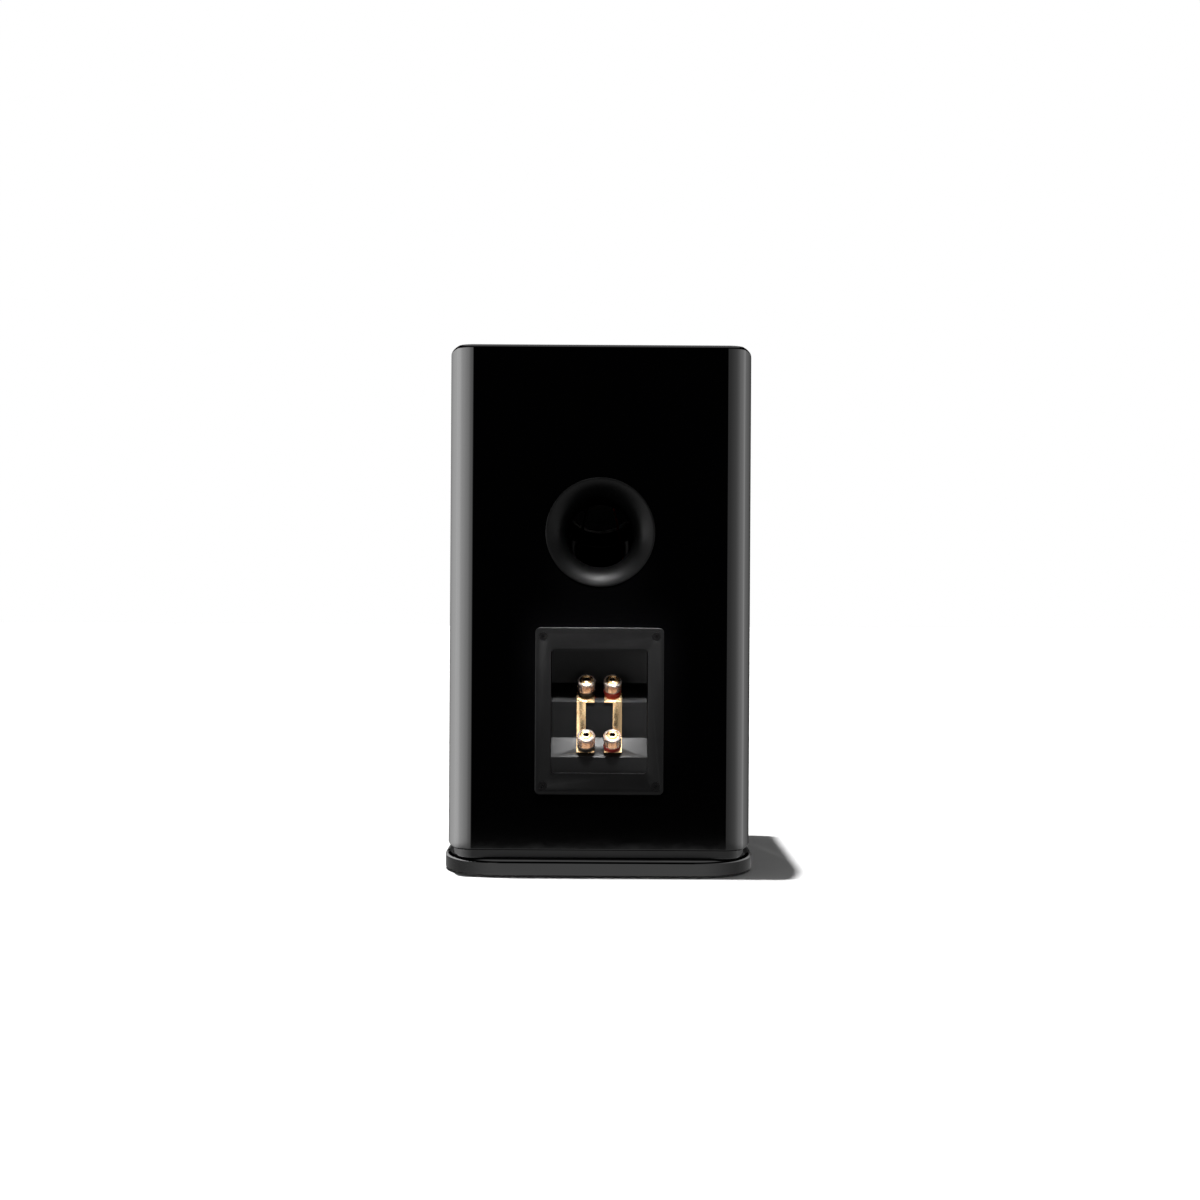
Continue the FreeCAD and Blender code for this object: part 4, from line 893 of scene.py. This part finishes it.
copies = Plan("copies_on_points")
copies.add_input("Copy", "NodeSocketObject")
copies.add_input("Size", "NodeSocketFloat")
copies.add_input("Material", "NodeSocketMaterial")
copy_shape = copies.node("GeometryNodeObjectInfo", None, {"Object": copies.given("Copy")})
copy_turn = copies.node("GeometryNodeInputNamedAttribute", {"data_type": "FLOAT_VECTOR"},
                        {"Name": "turn"})
copy_size = copies.node("ShaderNodeCombineXYZ", None, {axis: copies.given("Size") for axis in "XYZ"})
copy_set = copies.node("GeometryNodeInstanceOnPoints", None, {
    "Points": copies.given("Geometry"), "Instance": copy_shape.outputs["Geometry"],
    "Rotation": copy_turn.outputs[0], "Scale": copy_size.outputs[0],
})
copies.close(copy_set.outputs[0])


def points(name, places, turns):
    """A mesh of loose points, each with a turn."""
    mesh = bpy.data.meshes.new(name)
    mesh.from_pydata([tuple(place) for place in places], [], [])
    turn = mesh.attributes.new("turn", "FLOAT_VECTOR", "POINT")
    for index, angles in enumerate(turns):
        turn.data[index].vector = angles
    made = bpy.data.objects.new(name, mesh)
    bpy.context.scene.collection.objects.link(made)
    return made


# %% [markdown]
# The points are the middles of the CAD screws' heads, so a moved hole moves its screw. A seeded
# draw gives each slot its angle.


# %% Set the screws
def screws(node, head_radius, head_tall, shank_radius, long, facing):
    """Facing is -Y for the drivers, +Y for the cup and -Z for the plinth."""
    chance = random.Random(node)
    blank = screw_object(node + "_one", head_radius, head_tall, shank_radius, long)
    places = []
    turns = []
    for low, high in islands(node):
        middle = (low + high) / 2
        spin = chance.uniform(0, math.pi / 2)
        if facing == "-Y":
            places.append((middle.x, low.y, middle.z))
            turns.append((math.radians(90), spin, 0))
        elif facing == "+Y":
            places.append((middle.x, high.y, middle.z))
            turns.append((math.radians(-90), spin, 0))
        else:
            places.append((middle.x, middle.y, low.z))
            turns.append((math.radians(180), 0, spin))
    made = points(node + "_turned_in", places, turns)
    copies.apply(made, Copy=blank, Size=1.0, Material=finishes["blackened_steel"])
    bpy.data.objects.remove(blank)
    return settle(made, "blackened_steel", "cabinet", node, seam=35)


screws("cup_screws", 0.0032, 0.0022, 0.0015, 0.016, "+Y")
screws("woofer_screws", 0.0038, 0.0032, 0.0020, 0.024, "-Y")
screws("tweeter_screws", 0.0034, 0.0028, 0.0017, 0.020, "-Y")
screws("plinth_screws", 0.0042, 0.0036, 0.0022, 0.028, "-Z")

# %% [markdown]
# ## The woofer's moving parts
#
# A cone is one curved sheet, so its profile is a bowed line with three shallow stiffening rings
# pressed near the edge. The surround's roll is half a circle between the frame's ledge and the
# cone's lip. The roll and the spider are fixed shapes at rest that ride on no body.

# %% Cone and dust cap
cone = ring_of("woofer_cone")
woofer_middle = (woofer["x"], woofer["z"])
lip_depth = cone["near"] - baffle_face
neck_depth = cone["far"] - baffle_face
CONE_THICK = 0.0012
CONE_SAG = 0.0028
CONE_STEPS = 60
CONE_LIP = 0.0015
NECK_RADIUS = 0.01975
NECK_RAISED = 0.0022
RING_HIGH = 0.00022
RINGS_FROM = 0.06
RINGS_TO = 0.36
RING_PITCH = 0.10
cone_path = []
for index in range(CONE_STEPS + 1):
    share = index / CONE_STEPS
    radius = cone["radius"] - CONE_LIP + (NECK_RADIUS - cone["radius"] + CONE_LIP) * share
    depth = lip_depth + (neck_depth - NECK_RAISED - lip_depth) * share
    depth += CONE_SAG * 4 * share * (1 - share)
    if RINGS_FROM < share < RINGS_TO:
        depth += RING_HIGH * (1 - math.cos((share - RINGS_FROM) / RING_PITCH * 2 * math.pi)) / 2
    cone_path.append((radius, depth))
lip = [(cone["radius"], lip_depth + CONE_THICK), (cone["radius"], lip_depth)]
cone_back = [(radius, depth + CONE_THICK) for radius, depth in cone_path[::-1]]
piece("cone", lathe(lip + cone_path + cone_back, woofer_middle, baffle_face, 144),
      "cone_paper", "woofer_cone_assembly", "woofer_cone")


def dome_path(radius, high, rim_depth, steps):
    """From the middle out to the rim of a cap of a sphere."""
    ball = (radius ** 2 + high ** 2) / (2 * high)
    path = []
    for index in range(steps + 1):
        across = radius * index / steps
        path.append((across, rim_depth - high + ball - math.sqrt(ball ** 2 - across ** 2)))
    return path


CAP_THICK = 0.0006
cap = ring_of("woofer_dust_cap")
cap_path = dome_path(cap["radius"], cap["far"] - cap["near"], cap["far"] - baffle_face, 28)
piece("dust_cap", lathe(walled(cap_path, CAP_THICK), woofer_middle, baffle_face, 96),
      "cone_paper", "woofer_cone_assembly", "woofer_dust_cap", seam=60)

# %% [markdown]
# The roll's profile starts at the edge glued to the frame and ends at the edge glued to the cone.

# %% Surround and spider
ROLL_MIDDLE = 0.0659
ROLL_DEPTH = 0.005
ROLL_RADIUS = 0.0064
ROLL_THICK = 0.0008
ROLL_STEPS = 36
LEDGE_DEPTH = 0.002
LEDGE_RADIUS = 0.0756
GLUE_OVERLAP = 0.004
GLUE_RAISED = 0.0009
roll_path = [(LEDGE_RADIUS, LEDGE_DEPTH - ROLL_THICK)]
start_angle = math.asin((ROLL_DEPTH - LEDGE_DEPTH + ROLL_THICK) / ROLL_RADIUS)
end_angle = math.pi + math.asin((lip_depth - GLUE_RAISED - ROLL_DEPTH) / ROLL_RADIUS)
for index in range(ROLL_STEPS + 1):
    angle = start_angle + (end_angle - start_angle) * index / ROLL_STEPS
    radius = ROLL_MIDDLE + ROLL_RADIUS * math.cos(angle)
    roll_path.append((radius, ROLL_DEPTH - ROLL_RADIUS * math.sin(angle)))
roll_path.append((cone["radius"] - GLUE_OVERLAP, lip_depth - GLUE_RAISED))
roll_shape = lathe(walled(roll_path[::-1], ROLL_THICK), woofer_middle, baffle_face, 160)
surround = piece("surround_roll", roll_shape, "surround_rubber", None, "woofer_surround")
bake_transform(surround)

spider = ring_of("woofer_spider")
SPIDER_THICK = 0.0004
SPIDER_STEPS = 96
SPIDER_RISE = 0.0030
SPIDER_HOLE = 0.0203
SPIDER_WAVES = 6
WAVE_HIGH = 0.0008
WAVES_FROM = 0.022
FLAT_RIM = 0.005
spider_out = spider["radius"]
spider_out_depth = spider["far"] - baffle_face - SPIDER_THICK
spider_in_depth = spider_out_depth - SPIDER_RISE
spider_path = [(SPIDER_HOLE, spider_in_depth)]
for index in range(SPIDER_STEPS + 1):
    share = index / SPIDER_STEPS
    radius = WAVES_FROM + (spider_out - FLAT_RIM - WAVES_FROM) * share
    depth = spider_in_depth + (spider_out_depth - spider_in_depth) * share
    spider_path.append((radius, depth - WAVE_HIGH * math.sin(share * SPIDER_WAVES * 2 * math.pi)))
spider_path.append((spider_out, spider_out_depth))
web = piece("spider_web", lathe(walled(spider_path, SPIDER_THICK), woofer_middle, baffle_face, 120),
            "spider_cloth", None, "woofer_spider", seam=70)
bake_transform(web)

# %% [markdown]
# ## The tweeter's dome
#
# A silk dome is one moulding with its own small roll round it, so one profile holds both: a cap
# of a sphere, and then half a wave out to the rim that is glued down.

# %% Dome and its roll
silk = ring_of("tweeter_dome")
tweeter_middle = (tweeter["x"], tweeter["z"])
DOME_RADIUS = 0.0121
SEAT_RAISED = 0.0004
RIM_INSET = 0.0003
SILK_THICK = 0.00025
SMALL_ROLL_HIGH = 0.42
SMALL_ROLL_STEPS = 10
seat_depth = silk["far"] - baffle_face - SEAT_RAISED
silk_path = dome_path(DOME_RADIUS, seat_depth - (silk["near"] - baffle_face), seat_depth, 24)
small_roll_wide = silk["radius"] - RIM_INSET - DOME_RADIUS
for index in range(1, SMALL_ROLL_STEPS + 1):
    share = index / SMALL_ROLL_STEPS
    depth = seat_depth - small_roll_wide * SMALL_ROLL_HIGH * math.sin(share * math.pi)
    silk_path.append((DOME_RADIUS + small_roll_wide * share, depth))
piece("silk_dome", lathe(walled(silk_path, SILK_THICK), tweeter_middle, baffle_face, 96),
      "dome_silk", "tweeter_dome_assembly", "tweeter_dome", seam=70)

# %% [markdown]
# ## Crossover coils
#
# An air-cored coil is enamelled wire wound turn beside turn. Geometry Nodes make one ring of wire,
# stack it along the coil's height, and lay a flat spiral of the same wire across both ends.


# %% The tree that winds a coil
winding = Plan("winding")
winding.add_input("Core Radius", "NodeSocketFloat")
winding.add_input("Outer Radius", "NodeSocketFloat")
winding.add_input("Wire Radius", "NodeSocketFloat")
winding.add_input("Height", "NodeSocketFloat")
winding.add_input("Material", "NodeSocketMaterial")


def in_tree(plan, operation, first, second):
    return plan.node("ShaderNodeMath", {"operation": operation}, {0: first, 1: second}).outputs[0]


wire = winding.given("Wire Radius")
pitch = in_tree(winding, "MULTIPLY", wire, 2.0)
COIL_SIDES = 56
WIRE_SIDES = 6
round_wire = winding.node("GeometryNodeCurvePrimitiveCircle", None,
                          {"Resolution": WIRE_SIDES, "Radius": wire})
parts = []
for level in ("side", "low_end", "high_end"):
    span = winding.given("Height")
    if level != "side":
        span = in_tree(winding, "SUBTRACT", winding.given("Outer Radius"), winding.given("Core Radius"))
    turns = in_tree(winding, "FLOOR", in_tree(winding, "DIVIDE", span, pitch), 0.0)
    if level == "side":
        ring_radius = in_tree(winding, "SUBTRACT", winding.given("Outer Radius"), wire)
        ring = winding.node("GeometryNodeCurvePrimitiveCircle", None,
                            {"Resolution": COIL_SIDES, "Radius": ring_radius})
        row = winding.node("GeometryNodeMeshLine", {"mode": "OFFSET"}, {
            "Count": turns,
            "Start Location": winding.node("ShaderNodeCombineXYZ", None, {"Z": wire}).outputs[0],
            "Offset": winding.node("ShaderNodeCombineXYZ", None, {"Z": pitch}).outputs[0],
        })
        hoop = winding.node("GeometryNodeCurveToMesh", None,
                            {"Curve": ring.outputs[0], "Profile Curve": round_wire.outputs[0]})
        stack = winding.node("GeometryNodeInstanceOnPoints", None,
                             {"Points": row.outputs[0], "Instance": hoop.outputs[0]})
        parts.append(stack.outputs[0])
        continue
    high = in_tree(winding, "SUBTRACT", winding.given("Height"), wire) if level == "high_end" else wire
    spiral = winding.node("GeometryNodeCurveSpiral", None, {
        "Resolution": COIL_SIDES, "Rotations": turns, "Start Radius": winding.given("Core Radius"),
        "End Radius": in_tree(winding, "SUBTRACT", winding.given("Outer Radius"), pitch), "Height": 0.0,
    })
    lifted = winding.node("GeometryNodeTransform", None, {
        "Geometry": spiral.outputs[0],
        "Translation": winding.node("ShaderNodeCombineXYZ", None, {"Z": high}).outputs[0],
    })
    flat = winding.node("GeometryNodeCurveToMesh", None, {
        "Curve": lifted.outputs[0], "Profile Curve": round_wire.outputs[0], "Fill Caps": True,
    })
    parts.append(flat.outputs[0])
both = winding.tree.nodes.new("GeometryNodeJoinGeometry")
for part in parts:
    winding.tree.links.new(part, both.inputs[0])
winding.close(both.outputs[0])

# %% [markdown]
# The three coils differ only in size, which is read from their solids. The windings lie round
# those solids and stand for the outermost layer of wire.

# %% Wind the three coils
CORE = 0.009
WIRE = 0.0006
shape = bmesh.new()
for low, high in islands("crossover_coils"):
    middle = (low + high) / 2
    one = points("one_coil", [(0, 0, 0)], [(0, 0, 0)])
    winding.apply(one, Core_Radius=CORE + WIRE, Outer_Radius=(high.x - low.x) / 2, Wire_Radius=WIRE,
                  Height=high.z - low.z, Material=finishes["copper_wire"])
    one.data.transform(Matrix.Translation((middle.x, middle.y, low.z)))
    shape.from_mesh(one.data)
    bpy.data.objects.remove(one)
piece("coil_windings", shape, "copper_wire", "cabinet", seam=70)

# %% [markdown]
# ## Wadding
#
# The wadding is loose polyester fleece cut into pads. Each pad starts as its solid's box, is
# divided, pulled in along its edges and pushed about by noise, so no face is flat.


# %% Fleece pads
CUT_EVERY = 0.008
LUMPS_A_METRE = 60
FUZZ_A_METRE = 240


def fleece_pad(low, high, seed):
    """A pad in the box from low to high, with rounded edges and a lumpy skin."""
    shape = bmesh.new()
    made = bmesh.ops.create_cube(shape, size=1.0)["verts"]
    size = high - low
    bmesh.ops.scale(shape, vec=size, verts=made)
    bmesh.ops.translate(shape, vec=(low + high) / 2, verts=made)
    for axis in range(3):
        cuts = max(2, round(size[axis] / CUT_EVERY))
        lines = [edge for edge in shape.edges
                 if abs((edge.verts[1].co - edge.verts[0].co).normalized()[axis]) > 0.9]
        bmesh.ops.subdivide_edges(shape, edges=lines, cuts=cuts - 1, use_grid_fill=True)
    centre = (low + high) / 2
    for vertex in shape.verts:
        share = Vector([2 * (vertex.co[axis] - centre[axis]) / size[axis] for axis in range(3)])
        edge = sorted(abs(value) for value in share)
        pull = 0.10 * edge[1] ** 6 + 0.06 * edge[0] ** 6
        lump = noise.noise(vertex.co * LUMPS_A_METRE + Vector((seed * 7, 0, 0))) * 0.5 + 0.5
        fuzz = noise.noise(vertex.co * FUZZ_A_METRE) * 0.5 + 0.5
        squeeze = 1 - pull - 0.06 * lump - 0.02 * fuzz
        vertex.co.x = centre.x + (vertex.co.x - centre.x) * (squeeze - 0.06 * lump)
        vertex.co.y = centre.y + (vertex.co.y - centre.y) * (1 - 0.03 * pull - 0.012 * lump)
        vertex.co.z = centre.z + (vertex.co.z - centre.z) * (1 - 0.03 * pull - 0.012 * lump)
    return shape


pads = bmesh.new()
for seed, (low, high) in enumerate(islands("damping_pads")):
    one = fleece_pad(low, high, seed)
    mesh = bpy.data.meshes.new("pad")
    one.to_mesh(mesh)
    one.free()
    pads.from_mesh(mesh)
    bpy.data.meshes.remove(mesh)
bmesh.ops.recalc_face_normals(pads, faces=pads.faces)
fleece_pads = piece("fleece_pads", pads, "wadding", "cabinet", "damping_pads", seam=80)

# %% [markdown]
# ## The studio
#
# The floor is plain and pale, and bright enough to vanish into the white. The key is a sun almost
# overhead, tipped to one side, so the shadow is short. The lacquer would mirror both, so it is
# kept from seeing them, and what it mirrors is drawn in the world instead.

# %% Floor and key light
def plain_floor(tree):
    mottle = tree.noise(3.0, 2.0)
    return {"Base Color": tree.blend(mottle, (0.80, 0.80, 0.80), (0.82, 0.82, 0.82)), "Roughness": 0.9}


FLOOR_HALF = 14
floor_shape = bmesh.new()
bmesh.ops.create_grid(floor_shape, x_segments=1, y_segments=1, size=FLOOR_HALF)
floor_mesh = bpy.data.meshes.new("floor")
floor_shape.to_mesh(floor_mesh)
floor_shape.free()
floor = bpy.data.objects.new("floor", floor_mesh)
floor_mesh.materials.append(finish("plain_floor", plain_floor, **{"Specular IOR Level": 0.0}))
bpy.context.scene.collection.objects.link(floor)
floor.visible_glossy = False
floor.visible_diffuse = False

KEY_TILT = math.radians(5.65)
KEY_LEAN = math.radians(1.2)
KEY_STRENGTH = 4.6
KEY_SPREAD = math.radians(1.7)
key = bpy.data.objects.new("key", bpy.data.lights.new("key", "SUN"))
key.data.energy = KEY_STRENGTH
key.data.angle = KEY_SPREAD
key.rotation_euler = (KEY_LEAN, KEY_TILT, 0)
key.visible_glossy = False
bpy.context.scene.collection.objects.link(key)

# %% [markdown]
# Three small strip lights with grids do the close work. A grid keeps the beam so tight that each
# strip lights one step of the cup, or the port's lower lip, and nothing spills on the lacquer.

# %% Strip lights on the cup and the port
STRIP_AWAY = 0.36
GRID = math.radians(7)


def grid_light(name, place, turn, size, spread, power):
    """A flat light behind a grid. It lights what it points at, and no camera sees it."""
    light = bpy.data.objects.new(name, bpy.data.lights.new(name, "AREA"))
    light.data.shape = "RECTANGLE"
    light.data.size = size[0]
    light.data.size_y = size[1]
    light.data.spread = spread
    light.data.energy = power
    light.location = place
    light.rotation_euler = turn
    light.visible_camera = False
    bpy.context.scene.collection.objects.link(light)


def strip_light(name, aim, rise, size, power):
    """A grid light behind the cabinet, that looks down on its aim at a rise in degrees."""
    rise = math.radians(rise)
    place = Vector(aim) + STRIP_AWAY * Vector((0, math.cos(rise), math.sin(rise)))
    grid_light(name, place, (rise - math.radians(90), 0, 0), size, GRID, power)


strip_light("lower_step_strip", (0.0, back_face - 0.012, 0.088), 68, (0.10, 0.020), 0.028)
strip_light("upper_step_strip", (0.0, back_face - 0.022, 0.129), 57, (0.10, 0.018), 0.030)
strip_light("port_lip_strip", (0.0, back_face, 0.216), 62, (0.06, 0.018), 0.009)

# %% [markdown]
# The key is almost overhead, so it only grazes the front, and the drivers would be lost in the
# dark. One more grid light, high in front and a little to one side, shapes the cone and the
# tweeter's plate.

# %% A light on the front
front_aim = Vector((0.0, baffle_face, 0.215))
FRONT_RISE = math.radians(34)
FRONT_AWAY = 0.9
FRONT_ASIDE = 0.12
FRONT_SIZE = (0.14, 0.24)
FRONT_GRID = math.radians(6)
FRONT_POWER = 0.45
front_way = Vector((FRONT_ASIDE, -math.cos(FRONT_RISE), math.sin(FRONT_RISE)))
front_place = front_aim + FRONT_AWAY * front_way
front_turn = (front_aim - front_place).to_track_quat("-Z", "Y").to_euler()
grid_light("front_strip", front_place, front_turn, FRONT_SIZE, FRONT_GRID, FRONT_POWER)

# %% [markdown]
# ## The room in the mirror
#
# A gloss cabinet shows the studio round it more than itself. The studio is two low bands of soft
# panels, a bright one on one side and a dim one on the other, which fade towards the front. They
# leave a black gap behind the camera, which keeps the flat back black, so the rounded rear corners
# and the sides catch them. Above is a soft roof and below a faint floor. All of it is a formula of
# the direction: how far around, from -1 to 1, and how high, from -1 to 1. A camera sees plain white.

# %% The world that the lacquer mirrors
CARD = 5.5
ROOF = 1.3
world = bpy.data.worlds.new("studio")
bpy.context.scene.world = world
world.use_nodes = True
sky = Tree(world.node_tree)
way = sky.node("TexCoord", output=0)
split = sky.node("SeparateXYZ", None, {0: way})
part_y = Signal(sky, split.socket.node.outputs[1])
part_z = Signal(sky, split.socket.node.outputs[2])
around = sky.node("Math", {"operation": "ARCTAN2"}, {0: split, 1: part_y}) / math.pi
height = sky.node("Math", {"operation": "ARCSINE"}, {0: part_z}) / math.radians(90)
lit_side = sky.node("ValToRGB", {"stops": [
    (0.072, 0.0), (0.092, 0.36), (0.135, 0.43), (0.20, 0.66), (0.367, 0.90), (0.57, 0.93),
    (0.72, 0.46), (0.83, 0.21), (0.90, 0.105), (0.955, 0.035), (0.98, 0.006),
]}, {0: abs(around)})
dim_side = sky.node("ValToRGB", {"stops": [
    (0.026, 0.0), (0.036, 0.09), (0.08, 0.10), (0.32, 0.21), (0.50, 0.38), (0.62, 0.31),
    (0.80, 0.17), (0.88, 0.045), (0.94, 0.008), (0.98, 0.003),
]}, {0: abs(around)})
on_lit_side = around > 0.0
cards = lit_side * on_lit_side + dim_side * (1 - on_lit_side)
BAND_TOP = (0.096, 0.081)
BAND_FOOT = (-0.0770, -0.0735)
ROOF_EDGE = (0.42, 0.62)
FLOOR_EDGE = (-0.0745, -0.0795)
FLOOR_FADES = (-0.55, -0.2)
window = sky.step(height, *BAND_TOP) * sky.step(height, *BAND_FOOT)
roof = sky.step(height, *ROOF_EDGE)
under = sky.step(height, *FLOOR_EDGE)
near_floor = under * sky.step(abs(around), 0.05, 0.75, 1.25, 0.22) * sky.step(height, *FLOOR_FADES)
glow = cards * CARD * window * (1 - under) + roof * ROOF + near_floor
rays = sky.node("LightPath")
seen = Signal(sky, rays.socket.node.outputs["Is Camera Ray"])
soft = Signal(sky, rays.socket.node.outputs["Is Diffuse Ray"])
SOFT_SHARE = 0.22
strength = glow * (1 - soft * (1 - SOFT_SHARE))
WHITE = (1, 1, 1, 1)
backdrop = sky.node("Background", None, {"Color": WHITE, "Strength": 1.0})
panels = sky.node("Background", None, {"Color": WHITE, "Strength": strength})
room = sky.node("MixShader", None, {0: seen, 1: panels, 2: backdrop})
sky.node("OutputWorld", None, {"Surface": room})
print("world nodes:", len(world.node_tree.nodes))
